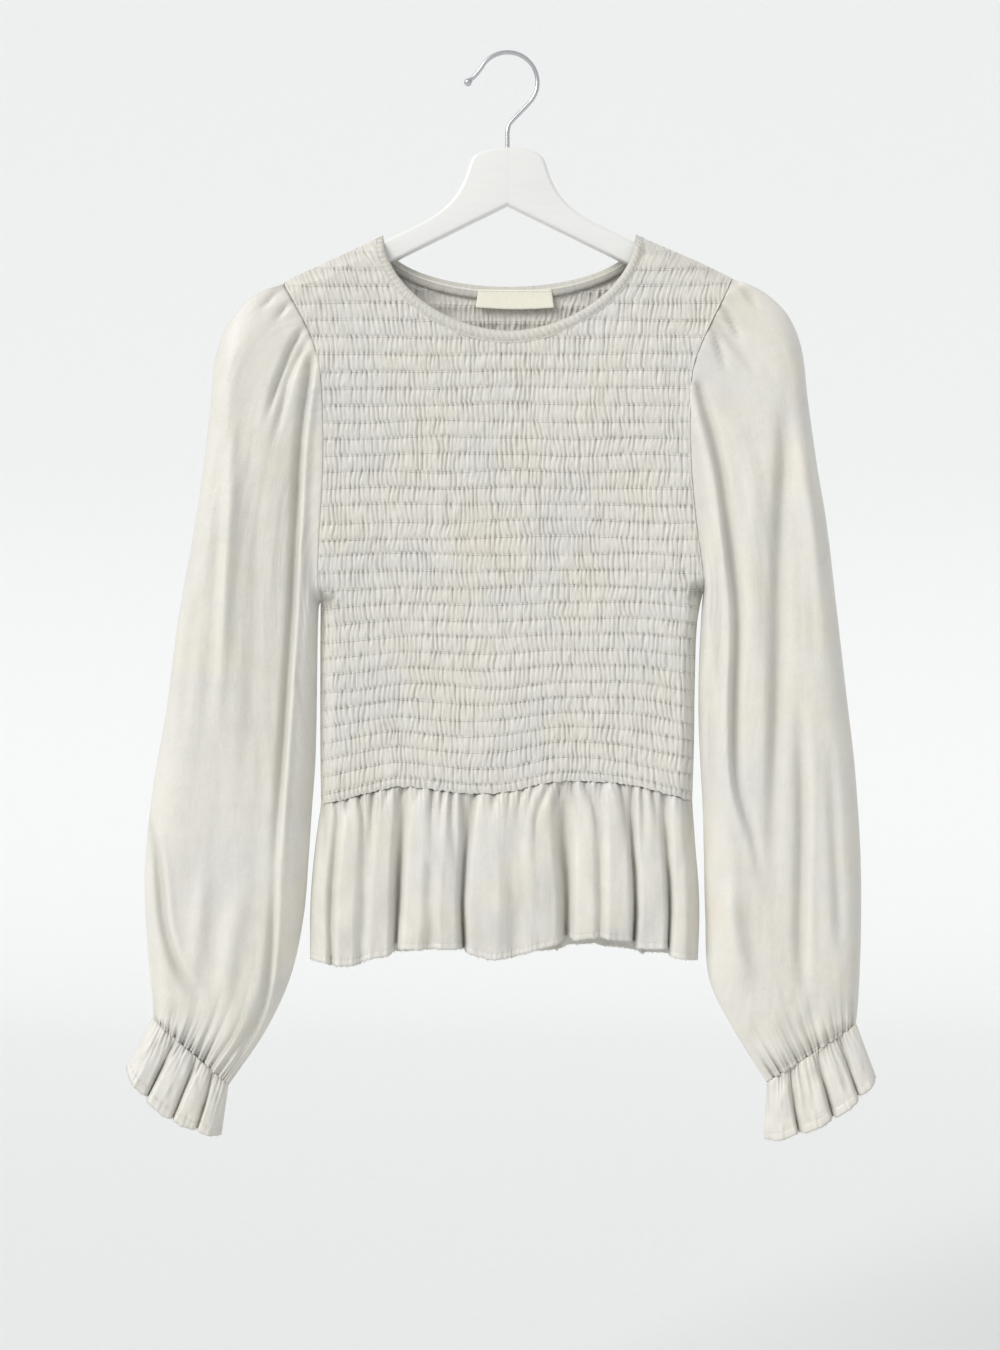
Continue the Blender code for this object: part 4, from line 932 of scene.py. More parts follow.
def fitted(outline, x, z, step_x, step_z):
    """Move a grid's points that lie near an outline onto it, and tell which points belong to the panel."""
    closed = outline + outline[:1]
    inside = np.zeros(x.shape, bool)
    best = np.full(x.shape, np.inf)
    near_x = x.copy()
    near_z = z.copy()
    for (x0, z0), (x1, z1) in zip(closed, closed[1:]):
        if z0 != z1:
            inside ^= ((z0 > z) != (z1 > z)) & (x < x0 + (z - z0) * (x1 - x0) / (z1 - z0))
        gap_x, gap_z, share = segment_gap(
            x / step_x, z / step_z, (x0 / step_x, z0 / step_z), (x1 / step_x, z1 / step_z))
        away = np.hypot(gap_x, gap_z)
        near = away < best
        best = np.where(near, away, best)
        near_x = np.where(near, mix(x0, x1, share), near_x)
        near_z = np.where(near, mix(z0, z1, share), near_z)
    moved = best < 0.5
    return np.where(moved, near_x, x), np.where(moved, near_z, z), inside | moved, inside & ~moved


def smocked_panel(name, face, step_x, sizes, surface):
    """Make a whole smocked panel as one sheet, from the shoulders to the waist."""
    seed = 10 if face < 0 else 50
    columns = np.arange(-PANEL_HALF_WIDTH, PANEL_HALF_WIDTH, step_x)
    rows = np.arange(36 * SMOCKING_LINES + 1) / SMOCKING_LINES
    across, row = np.meshgrid(columns, rows)
    down = row_down(row, across, seed)
    outline = bodice_outline(face)
    x, z, used, inner = fitted(outline, across, -down, step_x, ROW_PITCH_TOP / SMOCKING_LINES)
    lift, pinch, phase = smocking(across, row, seed, sizes)
    edge = distance_to(outline + outline[:1], x, z)
    hold = mix(0.35, 1.0, rise(edge, 4.0)) * rise(np.minimum(*seam_distances(x, z)), 5.0)
    for pucker_x, pucker_down in UNDERARM_PUCKERS:
        near = bell(np.hypot(x - pucker_x, z + pucker_down), PUCKER_REACH)
        lift = lift - near * (1.2 + 2.6 * ripple(x, z, 3.0, 2.4, seed + 9))
        # Painted shade in the underarm puckers
        pinch = np.clip(pinch + 0.7 * near, 0.0, 1.0)
    y = face * (cloth_depth(x, z) + hold * lift)
    at_waist = np.exp(-np.maximum(z + read_table(WAIST, "x", "down", x), 0.0) / WAIST_REACH)
    y = y - face * WAIST_SINK * at_waist * rise(seam_distances(x, z)[1], ROLL)
    z = z - WAIST_RAGGED * at_waist * ripple(x, 0.0, 1.7, 5.0, seed + 9)
    quads = grid_quads(len(rows), len(columns), face < 0)
    quads = quads[inner.ravel()[quads].any(axis=1)]
    whole = used.ravel()[quads]
    cut = whole.sum(axis=1) == 3
    triangles = quads[cut][whole[cut]].reshape(-1, 3)
    quads = quads[whole.all(axis=1)]
    wanted, renumbered = np.unique(np.concatenate([quads.ravel(), triangles.ravel()]), return_inverse=True)
    faces = renumbered[:quads.size].reshape(-1, 4).tolist()
    faces += renumbered[quads.size:].reshape(-1, 3).tolist()
    points = np.stack([x, y, z], axis=-1).reshape(-1, 3)[wanted]
    uvs = np.stack([phase * FULLNESS * sizes.gather_pitch / MILLIMETRE, -row * ROW_PITCH_TOP], axis=-1)
    return mesh_object(name, points, faces, uvs.reshape(-1, 2)[wanted], surface, pinch.ravel()[wanted])


class BLOUSE_OT_stage(Operator):
    """Set up the pale floor and backdrop, the soft lights and the camera"""

    bl_idname = "blouse.stage"
    bl_label = "Studio"

    def execute(self, context):
        colours = context.scene.blouse_colours
        profile = [(FLOOR_FRONT, FLOOR_HEIGHT), (FLOOR_BACK, FLOOR_HEIGHT)]
        for angle in np.linspace(0.0, math.pi / 2, 17)[1:]:
            level = FLOOR_HEIGHT + SWEEP_RADIUS - SWEEP_RADIUS * math.cos(angle)
            profile.append((FLOOR_BACK + SWEEP_RADIUS * math.sin(angle), level))
        profile.append((FLOOR_BACK + SWEEP_RADIUS, BACKDROP_TOP))
        sides = (-STUDIO_HALF_WIDTH, STUDIO_HALF_WIDTH)
        points = np.array([(x, y, z) for y, z in profile for x in sides]) / MILLIMETRE
        surface, tree, shader = new_material("studio", tuple(colours.studio), 0.9)
        bumped(tree, shader, [(noise(tree, object_place(tree), 60.0, 2.0), 0.0005)])
        quads = grid_quads(len(profile), 2, True)
        mesh_object("studio_sweep", points, quads, points[:, :2], surface)
        world = bpy.data.worlds.new("studio")
        world.use_nodes = True
        sky = world.node_tree.nodes["Background"]
        sky.inputs["Color"].default_value = (0.97, 0.985, 1.0, 1.0)
        sky.inputs["Strength"].default_value = 0.66
        context.scene.world = world
        add_sun("key", (-0.76, -0.68, 0.60), 1.90, 0.52, (1.0, 0.985, 0.965))
        add_sun("back", (0.7, 0.8, 0.5), 0.7, 0.8, (0.97, 0.985, 1.0))
        camera = bpy.data.cameras.new("camera")
        camera.lens = CAMERA_LENS
        view = bpy.data.objects.new("camera", camera)
        view.location = CAMERA_PLACE
        view.rotation_euler = (math.pi / 2, 0.0, 0.0)
        context.scene.collection.objects.link(view)
        context.scene.camera = view
        context.scene.view_settings.view_transform = "Standard"
        return {"FINISHED"}


def add_sun(name, towards, strength, softness, colour):
    """Add an even light that comes from a direction, soft by its angle."""
    lamp = bpy.data.lights.new(name, "SUN")
    lamp.angle = softness
    lamp.energy = strength
    lamp.color = colour
    made = bpy.data.objects.new(name, lamp)
    made.rotation_euler = Vector(towards).to_track_quat("Z", "Y").to_euler()
    bpy.context.scene.collection.objects.link(made)


class BLOUSE_OT_smocking(Operator):
    """Make the smocked front and back panels"""

    bl_idname = "blouse.smocking"
    bl_label = "Smocked panels"

    def execute(self, context):
        sizes = context.scene.blouse_sizes
        surface = satin_material("satin_smocked", context.scene.blouse_colours, smocked=True)
        for name, face, step_x in (("bodice_front", -1, FRONT_STEP), ("bodice_back", 1, BACK_STEP)):
            panel = smocked_panel(f"{name}_smocking", face, step_x, sizes, surface)
            stands_for(panel, [name])
        return {"FINISHED"}


class BLOUSE_OT_neck(Operator):
    """Make the neck binding and the blank label"""

    bl_idname = "blouse.neck"
    bl_label = "Neck binding and label"

    def execute(self, context):
        colours = context.scene.blouse_colours
        surface = satin_material("satin_smocked", colours, smocked=True)
        thread = thread_material(colours)
        binding, edge = neck_binding(surface)
        stands_for(binding, ["neck_binding"])
        stitches("neck_binding_stitches", [edge], context.scene.blouse_sizes, thread)
        label, upper_edge = neck_label(label_material(colours))
        stands_for(label, ["neck_label"])
        stitches("neck_label_stitches", [upper_edge], context.scene.blouse_sizes, thread)
        return {"FINISHED"}


def neck_binding(surface):
    """Make the narrow bias binding round the whole neck."""
    steps = neck_steps(BINDING_STEPS)
    faces = np.concatenate([np.full(BINDING_STEPS + 1, -1.0), np.full(BINDING_STEPS - 1, 1.0)])
    places = np.concatenate([steps, steps[-2:0:-1]])
    outward = np.array([0.0, 0.5, 1.4, 2.6, 3.8, 5.0, 5.5, 6.0, 6.6, 7.0])
    shape = np.array([0.0, 0.55, 0.85, 1.0, 0.95, 0.72, 0.45, 0.62, 0.55, 0.25])
    inward = np.array([7.2, 5.8, 5.2, 3.5, 1.6, 0.3])
    lining = np.array([0.0, 0.1, 0.7, 0.5, 0.3, 0.2])
    rings = []
    painted_shades = []
    arc = 0.0
    before = None
    for face, t in zip(faces, places):
        x, z = neck_point(face, t, outward)
        inner_x, inner_z = neck_point(face, t, inward)
        here = np.array([x[4], face * 10.0 * min(t, 1.0 - t), z[4]])
        arc += 0.0 if before is None else float(np.linalg.norm(here[[0, 2]] - before[[0, 2]]))
        before = here
        end_x, end_z = neck_point(face, round(float(t)), 0.0)
        from_top = np.hypot(x[0] - end_x, z[0] - end_z)
        over = rise(from_top, 5.0)
        base = cloth_depth(x, z) - WALL_AND_GAP
        uneven = 2.0 * ripple(arc, face, 19.0, 5.0, 90)
        pucker = 0.55 * np.sin(2 * np.pi * (arc / 4.1 + outward / 7.5) + uneven)
        pucker = pucker * np.sin(np.pi * np.clip(outward / BINDING_WIDTH, 0.0, 1.0))
        high = base + 1.2 + shape * (BINDING_THICKNESS + BINDING_CROWN - 1.2) + pucker
        low = cloth_depth(inner_x, inner_z) - WALL_AND_GAP - lining
        fall = BINDING_THICKNESS * (1.0 - over)
        outer_ring = np.stack([x, face * high * over, z + 0.4 * (1.0 - over)], axis=-1)
        inner_ring = np.stack([inner_x, face * np.maximum(low, 0.1) * over, inner_z - fall], axis=-1)
        rings.append(np.vstack([outer_ring, inner_ring]))
        # Painted shade: darker towards the binding's edges and in its puckers' troughs, and evenly on its
        # inner side
        painted_shades += [0.20 + 0.25 * (1.0 - shape) - 0.55 * pucker, np.full(len(inward), 0.3)]
    points = np.vstack(rings)
    sides = len(outward) + len(inward)
    index = np.arange(len(points)).reshape(len(rings), sides)
    index = np.vstack([index, index[:1]])
    index = np.hstack([index, index[:, :1]])
    corners = [index[:-1, :-1], index[:-1, 1:], index[1:, 1:], index[1:, :-1]]
    quads = np.stack(corners, axis=-1).reshape(-1, 4)
    around = np.repeat(np.arange(len(rings)) * 1.6, sides)
    uvs = np.stack([around, np.tile(np.arange(sides), len(rings))], axis=-1)
    edge = sewn_line(np.stack(rings, axis=1), STITCHED_RING, closed=True)
    pinch = np.clip(np.concatenate(painted_shades), 0.0, 0.7)
    return mesh_object("neck_binding_cloth", points, quads, uvs, surface, pinch), edge


def neck_label(surface):
    """Make the blank label, sewn on by its upper edge, with its lower edge free."""
    share, down = np.meshgrid(np.linspace(0.0, 1.0, 48), np.linspace(0.0, 1.0, 12))
    left, right = (mix(upper, lower, down) for upper, lower in zip(LABEL_UPPER_ENDS, LABEL_LOWER_ENDS))
    x = mix(left, right, share)
    z = LABEL_TOP - down * (LABEL_HEIGHT + LABEL_SAG * np.sin(np.pi * share)) - 0.3 * share
    hang = 1.3 + 1.5 * down**2 + 0.35 * np.sin(5.0 * share + 2.0) * down
    y = cloth_depth(x, z) - WALL_AND_GAP - hang
    grid = np.stack([x, y, z], axis=-1)
    line, outward = sewn_line(grid, 1.0)
    points = grid.reshape(-1, 3)
    quads = grid_quads(*x.shape, True)
    label = mesh_object("neck_label_tape", points, quads, points[:, [0, 2]], surface)
    thicken(label, LABEL_THICKNESS)
    return label, (line, -outward)


class BLOUSE_OT_sleeves(Operator):
    """Make both sleeves, gathered at the head and at the wrist"""

    bl_idname = "blouse.sleeves"
    bl_label = "Sleeves"

    def execute(self, context):
        sizes = context.scene.blouse_sizes
        surface = satin_material("satin_cloth", context.scene.blouse_colours, smocked=False)
        hidden_left = mirrored(CREASES_RIGHT)
        hidden_right = mirrored(CREASES_LEFT)
        for name, rows, armhole, front, back, seed in (
                ("sleeve_left", SLEEVE_LEFT, ARMHOLE_LEFT, CREASES_LEFT, hidden_left, 200),
                ("sleeve_right", SLEEVE_RIGHT, ARMHOLE_RIGHT, CREASES_RIGHT, hidden_right, 240)):
            sleeve = add_sleeve(f"{name}_cloth", rows, armhole, (front, back), seed, sizes, surface)
            stands_for(sleeve, [name])
        return {"FINISHED"}


def mirrored(creases):
    """Return creases for the other sleeve's hidden side."""
    return [
        crease._replace(points=tuple((-x, down + 4.0) for x, down in crease.points), step=-crease.step)
        for crease in creases
    ]


def tube_grid(along, half):
    """Return the grids of a flat tube: how far along it, its face and how far across, once round."""
    turn = np.arange(2 * half) / half
    face = np.where(turn <= 1.0, -1.0, 1.0)
    return np.broadcast_arrays(along[:, None], face, np.where(turn <= 1.0, turn, 2.0 - turn))


def tube_phase(count, across, down, sway, start, seed):
    """Return the phase of a number of gathers across one face of a tube, with an uneven sway."""
    return count * across + sway * ripple(count * across, down, 3.0, 4.0, seed) + start


def armhole_bow(armhole, fraction):
    """Return how far the armhole seam lies from the straight line between its ends."""
    top = armhole[0]
    bottom = armhole[-1]
    down = mix(top.down, bottom.down, fraction)
    return read_table(armhole, "down", "x", down) - mix(top.x, bottom.x, fraction)


def add_sleeve(name, rows, armhole, creases, seed, sizes, surface):
    """Make a sleeve: a flat open tube of satin with its creases and gathers."""
    along, face, across = tube_grid(crowded(np.linspace(0.0, 1.0, SLEEVE_GRID[0]), 0.75), SLEEVE_GRID[1])
    fraction = crowded(across, 0.4)
    outer_x, outer_down, inner_x, inner_down, half_depth = (
        read_table(rows, "along", column, along) for column in SleeveRow._fields[1:]
    )
    length = np.hypot(inner_x - outer_x, inner_down - outer_down)
    sway = 1.0 - ease(along / 0.30)
    x = mix(outer_x, inner_x, fraction) + sway * armhole_bow(armhole, fraction)
    z = -mix(outer_down, inner_down, fraction)
    place = fraction * length
    roll = np.maximum(np.minimum(2.0 * ROLL, 0.30 * length), 1.0)
    edge = rise(place, roll) * rise(length - place, roll)
    tube = half_depth * edge**0.62
    to_seam = 1.0 - ease(along / 0.10)
    y = mix(tube, cloth_depth(x, z), to_seam)
    folds = np.where(face < 0, crease_height(creases[0], x, z), crease_height(creases[1], x, z))
    folds = folds * sizes.crease_share
    around = place + 300.0 * face
    waves = 0.9 * ripple(around, z, 26.0, 130.0, seed) + 0.35 * ripple(around, z, 9.0, 55.0, seed + 1)
    from_wrist = (1.0 - along) * SLEEVE_OUTSIDE
    past_cord = np.maximum(from_wrist - CORD_AT, 0.0)
    wrist_phase = tube_phase(27.0, fraction, along * 30, 0.8, 100 + 40 * face, seed + 2)
    wrist = gathers(wrist_phase, 26.0, past_cord, 3.4, seed + 3)
    wrist = wrist + gathers(wrist_phase * 0.42 + 0.3, 46.0, past_cord, 4.2, seed + 7)
    crumple = ripple(around, z, 9.0, 20.0, seed + 8) * bell(from_wrist - 22.0, 34.0)
    bulge = 1.5 * crumple + 1.8 * bell(from_wrist - 18.0, 12.0)
    cord = 0.5 * bell(from_wrist - 1.0, CORD_WIDTH) + 0.9 * bell(from_wrist - CORD_AT - 0.5, CORD_WIDTH)
    from_seam = along * SLEEVE_MIDDLE
    head_phase = tube_phase(34.0, fraction, along * 30, 0.7, 200 + 40 * face, seed + 4)
    head = gathers(head_phase, 15.0, from_seam, 1.6, seed + 5) * ease((0.60 - fraction) / 0.25)
    relief = folds + waves * (1.0 - to_seam) + wrist + head + bulge - cord
    relief = relief * mix(0.2, 1.0, ease(from_seam / 9.0))
    y = np.maximum(y + relief * np.minimum(edge * 1.6, 1.0), EDGE_HALF * edge)
    on_edge = (across == 0.0) | (across == 1.0)
    tuck = np.exp(-from_seam / TUCK_REACH)
    x = x - math.copysign(TUCK, rows[0].outer_x) * tuck
    y = np.where(on_edge, 0.0, np.maximum(y - TUCK_DEPTH * tuck, 0.0)) * face
    points = np.stack([x, y, z], axis=-1).reshape(-1, 3)
    quads = grid_quads(*x.shape, rows[0].outer_x < 0, closed=True)
    uvs = np.stack([place * 1.3 + 250.0 * (face > 0), from_seam], axis=-1).reshape(-1, 2)
    # Painted shade in the gathers at the wrist and the head, and in the creases' troughs
    pinch = np.clip(-0.14 * (wrist + head) - 0.06 * folds, 0.0, 0.6).ravel()
    sleeve = mesh_object(name, points, quads, uvs, surface, pinch)
    thicken(sleeve, sizes.cloth_thickness)
    return sleeve


class BLOUSE_OT_ruffles(Operator):
    """Make the ruffles below the wrist elastic"""

    bl_idname = "blouse.ruffles"
    bl_label = "Wrist ruffles"

    def execute(self, context):
        sizes = context.scene.blouse_sizes
        surface = satin_material("satin_cloth", context.scene.blouse_colours, smocked=False)
        thread = thread_material(context.scene.blouse_colours)
        left = RUFFLE_FOLDS_LEFT
        right = RUFFLE_FOLDS_RIGHT
        for side, rows, corners, folds, seed in (
                ("left", SLEEVE_LEFT, RUFFLE_LEFT_CORNERS, (left, right), 300),
                ("right", SLEEVE_RIGHT, RUFFLE_RIGHT_CORNERS, (right, left), 320)):
            name = f"cuff_ruffle_{side}_cloth"
            ruffle, seam, edge = add_ruffle(name, rows, corners, folds, seed, sizes, surface)
            stands_for(ruffle, [f"cuff_ruffle_{side}"])
            sewing = stitches(f"cuff_ruffle_{side}_stitches", [seam], sizes, thread)
            fray = frayed_edge(f"cuff_ruffle_{side}_fray", [edge], seed + 9, surface)
        return {"FINISHED"}


def ruffle_folds(folds, share, along):
    """Return a ruffle's folds: their lift, their slide along the hem, the lobes between and the shade."""
    lift = np.zeros(share.shape)
    slide = np.zeros_like(lift)
    lobes = np.zeros_like(lift)
    dark = np.zeros_like(lift)
    for fold in folds:
        away = (share - fold.share) / fold.half_width
        profile = np.cos(0.5 * np.pi * np.clip(away, -1.0, 1.0)) ** 1.3
        lift -= fold.depth * along**0.5 * profile
        slide -= 0.45 * fold.depth * along**0.5 * np.sin(np.pi * np.clip(away / 1.6, -1.0, 1.0))
        dark += 0.085 * fold.depth * along**0.3 * profile**2
    marks = [0.0] + [fold.share for fold in folds] + [1.0]
    for start, end in zip(marks, marks[1:]):
        lobe = np.sin(np.pi * np.clip((share - start) / (end - start), 0.0, 1.0))
        lift += 3.2 * along**0.6 * lobe
        lobes += along**3 * lobe**0.6
    return lift, slide, lobes, dark


def add_ruffle(name, rows, corners, folds, seed, sizes, surface):
    """Make the fluted ruffle that falls from the wrist elastic, all round."""
    cuff = rows[-1]
    outward = math.copysign(1.0, cuff.outer_x)
    along, face, across = tube_grid(np.linspace(0.0, 1.0, RUFFLE_GRID[0]) ** 0.9, RUFFLE_GRID[1])
    share = crowded(across, 0.4)
    top_outer = (cuff.outer_x + outward * 0.1, -cuff.outer_down + 0.8)
    top_inner = (cuff.inner_x + outward * 0.25, -cuff.inner_down + 0.8)
    outer_x, outer_z = (mix(a, b, along) for a, b in zip(top_outer, corners[0]))
    inner_x, inner_z = (mix(a, b, along) for a, b in zip(top_inner, corners[1]))
    length = np.hypot(inner_x - outer_x, inner_z - outer_z)
    across_x = (inner_x - outer_x) / length
    across_z = (inner_z - outer_z) / length
    front = ruffle_folds(folds[0], share, along)
    back = ruffle_folds(folds[1], 1.0 - share, along)
    swing, slide, lobes, dark = (np.where(face < 0, here, there) for here, there in zip(front, back))
    slide = np.where(face < 0, slide, -slide)
    bow = RUFFLE_BOW * along**2 * np.sin(np.pi * share) + 3.0 * lobes
    place = share * length + slide
    x = outer_x + across_x * place - across_z * outward * bow
    z = outer_z + across_z * place + across_x * outward * bow
    depth = mix(cuff.half_depth - 0.8, RUFFLE_HALF_DEPTH, ease(along))
    y = depth * np.sin(np.pi * share) ** 0.5 + swing
    from_top = along * RUFFLE_LENGTH
    phase = tube_phase(27.0, share, along * 6, 0.8, 100 + 40 * face, seed + 2)
    fine = gathers(phase, 26.0, np.maximum(from_top - 2.0, 0.0), 2.6, seed + 3)
    from_hem = (1.0 - along) * RUFFLE_LENGTH
    around = share * 90.0 + 100.0 * face
    hem = hem_relief(around, from_hem, sizes, seed)
    crumple = ripple(share * 110.0 + 100 * face, from_top, 7.0, 15.0, seed + 11) * along**0.4
    crumple = crumple + 0.6 * ripple(share * 110.0 + 100 * face, from_top, 3.4, 8.0, seed + 12)
    y = np.maximum(y + (fine + hem + 1.1 * crumple) * np.minimum(2.0 * np.sin(np.pi * share), 1.0), 0.3)
    y = np.where((across == 0.0) | (across == 1.0), 0.0, y) * face
    z = z - 0.5 * along**12 * ripple(around, 0.0, 1.6, 5.0, seed + 6)
    grid = np.stack([x, y, z], axis=-1)
    points = grid.reshape(-1, 3)
    uvs = np.stack([share * 110.0 + 150.0 * (face > 0), from_top], axis=-1).reshape(-1, 2)
    # Painted shade in the gathers, the folds and the crumples' hollows
    pinch = np.clip(-0.2 * fine + dark - 0.16 * crumple, 0.0, 0.8).ravel()
    quads = grid_quads(*x.shape, rows[0].outer_x < 0, closed=True)
    ruffle = mesh_object(name, points, quads, uvs, surface, pinch)
    thicken(ruffle, sizes.cloth_thickness)
    hem = sewn_line(grid, row_at(from_hem, sizes.hem_width), closed=True)
    return ruffle, hem, np.vstack([grid[-1], grid[-1, :1]])


def row_at(from_hem, distance):
    """Return the row of a grid, with its fraction, that lies at a distance above the hem."""
    heights = from_hem[::-1, 0]
    return np.interp(distance / MILLIMETRE, heights, np.arange(len(heights))[::-1])


def hem_relief(place, from_hem, sizes, seed):
    """Return the relief of a narrow turned hem: a thicker band, its stitched groove and small puckers."""
    width = sizes.hem_width / MILLIMETRE
    band = 0.55 * ease((width - from_hem) / 1.2 + 0.5)
    groove = -0.8 * bell(from_hem - width, 0.9)
    pucker = 0.28 * np.sin(2 * np.pi * place / 3.6 + 2.5 * ripple(place, 0.0, 11.0, 1.0, seed + 8))
    return band + groove + pucker * ease((width + 3.0 - from_hem) / 3.0)


class BLOUSE_OT_peplum(Operator):
    """Make the gathered peplum's front and back"""

    bl_idname = "blouse.peplum"
    bl_label = "Peplum"

    def execute(self, context):
        sizes = context.scene.blouse_sizes
        surface = satin_material("satin_cloth", context.scene.blouse_colours, smocked=False)
        thread = thread_material(context.scene.blouse_colours)
        for name, face, valleys, hem, seed in (
                ("peplum_front", -1, PEPLUM_VALLEYS_FRONT, HEM_FRONT, 400),
                ("peplum_back", 1, PEPLUM_VALLEYS_BACK, HEM_BACK, 430)):
            panel, seam, edge = add_peplum(f"{name}_cloth", face, valleys, hem, seed, sizes, surface)
            stands_for(panel, [name])
            sewing = stitches(f"{name}_stitches", [seam], sizes, thread)
            fray = frayed_edge(f"{name}_fray", [edge], seed + 11, surface)
        return {"FINISHED"}


def add_peplum(name, face, valleys, hem, seed, sizes, surface):
    """Make one gathered panel, from the waist seam to the hem."""
    down_share = crowded(np.linspace(0.0, 1.0, PEPLUM_GRID[0]), 0.5)[:, None]
    down_share, share = np.broadcast_arrays(down_share, np.linspace(0.0, 1.0, PEPLUM_GRID[1]))
    waist_x = mix(WAIST[0].x, WAIST[-1].x, share)
    hem_x = mix(PEPLUM_LEFT[-1].x, PEPLUM_RIGHT[-1].x, share)
    top = read_table(WAIST, "x", "down", waist_x) + SEAM_GAP
    down = mix(top, read_table(hem, "x", "down", hem_x), down_share)
    left = read_table(PEPLUM_LEFT, "down", "x", down)
    right = read_table(PEPLUM_RIGHT, "down", "x", down)
    x = mix(left, right, share)
    side = np.minimum(x - left, right - x)
    depth = mix(BODY_HALF_DEPTH, PEPLUM_HALF_DEPTH, down_share**0.7) + WALL_AND_GAP
    slide = 1.6 * ripple(hem_x, down, 36.0, 60.0, seed + 9) * ease(down_share * 2.0)
    dark = np.zeros_like(x)
    for valley in valleys:
        away = (hem_x - valley.x) / valley.half_width
        profile = np.cos(0.5 * np.pi * np.clip(away, -1.0, 1.0)) ** 1.3
        depth = depth - 1.15 * valley.depth * down_share**0.4 * profile
        pull = np.sin(np.pi * np.clip(away / 1.6, -1.0, 1.0))
        slide = slide - 0.42 * valley.depth * down_share**0.5 * pull
        # Painted shade in each valley
        dark = dark + 0.060 * valley.depth * down_share**0.3 * profile**2
    deep = [valley.x for valley in valleys if valley.depth >= DEEP_VALLEY]
    marks = [PEPLUM_LEFT[-1].x, *deep, PEPLUM_RIGHT[-1].x]
    for number, (start, end) in enumerate(zip(marks, marks[1:])):
        lean = 0.8 + 0.4 * (number % 2)
        puff = np.sin(np.pi * np.clip((hem_x - start) / (end - start), 0.0, 1.0) ** lean)
        depth = depth + min(7.5, 0.16 * (end - start)) * down_share**0.5 * puff**0.9
    from_waist = down - top
    phase = x / 10.4 + 1.0 * ripple(x, down, 30.0, 60.0, seed) + 100.0
    large = gathers(phase, 40.0, from_waist, 4.8, seed + 1)
    phase = x / 3.9 + 0.7 * ripple(x, down, 9.0, 20.0, seed + 2) + 100.0
    fine = gathers(phase, 15.0, from_waist, 1.9, seed + 3)
    soft = 0.7 * ripple(x, down, 15.0, 70.0, seed + 4) * ease(down_share * 2.0)
    soft = soft + 0.35 * ripple(x, down, 7.0, 26.0, seed + 5)
    soft = soft + 2.2 * ripple(x + 0.3 * down, down, 21.0, 30.0, seed + 10) * down_share**0.5
    soft = soft + 0.7 * ripple(x - 0.4 * down, down, 7.0, 13.0, seed + 12) * down_share**0.5
    from_hem = (1.0 - down_share) * PEPLUM_LENGTH
    relief = large + fine + soft + hem_relief(x, from_hem, sizes, seed)
    tuck = np.exp(-from_waist / TUCK_REACH)
    y = face * (EDGE_HALF + (depth + relief - TUCK_DEPTH * tuck - EDGE_HALF) * rise(side, ROLL))
    x = x + slide * rise(side, ROLL)
    z = -down + TUCK * tuck - 0.6 * down_share**14 * ripple(x, 0.0, 1.6, 5.0, seed + 6)
    grid = np.stack([x, y, z], axis=-1)
    uvs = np.stack([x * 1.6, -from_waist], axis=-1).reshape(-1, 2)
    # Painted shade in the gathers, the valleys and the soft hollows
    pinch = np.clip(-0.14 * (large + fine) + dark - 0.07 * soft, 0.0, 0.8).ravel()
    quads = grid_quads(*x.shape, face < 0)
    panel = mesh_object(name, grid.reshape(-1, 3), quads, uvs, surface, pinch)
    thicken(panel, sizes.cloth_thickness)
    return panel, sewn_line(grid, row_at(from_hem, sizes.hem_width)), grid[-1]


class BLOUSE_OT_hanger(Operator):
    """Paint the wooden hanger and make its wire hook"""

    bl_idname = "blouse.hanger"
    bl_label = "Hanger"

    def execute(self, context):
        colours = context.scene.blouse_colours
        paint = paint_material(colours)
        for side, name in ((-1, "left"), (1, "right")):
            arm = hanger_arm(f"hanger_{name}_wood", side, paint)
            stands_for(arm, [f"hanger_arm_{name}"])
        hook = hanger_hook(steel_material(colours))
        stands_for(hook, ["hanger_hook"])
        return {"FINISHED"}


def hanger_arm(name, side, surface):
    """Make one arm of the hanger, a board with softly rounded edges."""
    top = smooth_line([(GLUE_GAP, HANGER_CROWN)] + HANGER_TOP, 3)
    tip = smooth_line(HANGER_TIP, 4)
    outline = [tuple(point) for point in top + tip] + [(GLUE_GAP, HANGER_FORK)]
    shape = bmesh.new()
    front = [shape.verts.new((side * x, -HANGER_HALF_THICKNESS, z)) for x, z in outline]
    grown = bmesh.ops.extrude_face_region(shape, geom=[shape.faces.new(front)])
    moved = [item for item in grown["geom"] if isinstance(item, bmesh.types.BMVert)]
    bmesh.ops.translate(shape, verts=moved, vec=(0.0, 2 * HANGER_HALF_THICKNESS, 0.0))
    rounded = [
        edge for edge in shape.edges
        if abs(edge.verts[0].co.y - edge.verts[1].co.y) < 0.1
        and max(abs(corner.co.x) for corner in edge.verts) > 2 * GLUE_GAP
    ]
    bmesh.ops.bevel(shape, geom=rounded, offset=3.0, segments=5, profile=0.5, affect="EDGES")
    bmesh.ops.recalc_face_normals(shape, faces=shape.faces[:])
    bmesh.ops.scale(shape, vec=(MILLIMETRE,) * 3, verts=shape.verts[:])
    mesh = bpy.data.meshes.new(name)
    shape.to_mesh(mesh)
    shape.free()
    mesh.shade_smooth()
    mesh.set_sharp_from_angle(angle=math.radians(50.0))
    mesh.materials.append(surface)
    arm = bpy.data.objects.new(name, mesh)
    bpy.context.scene.collection.objects.link(arm)
    return arm


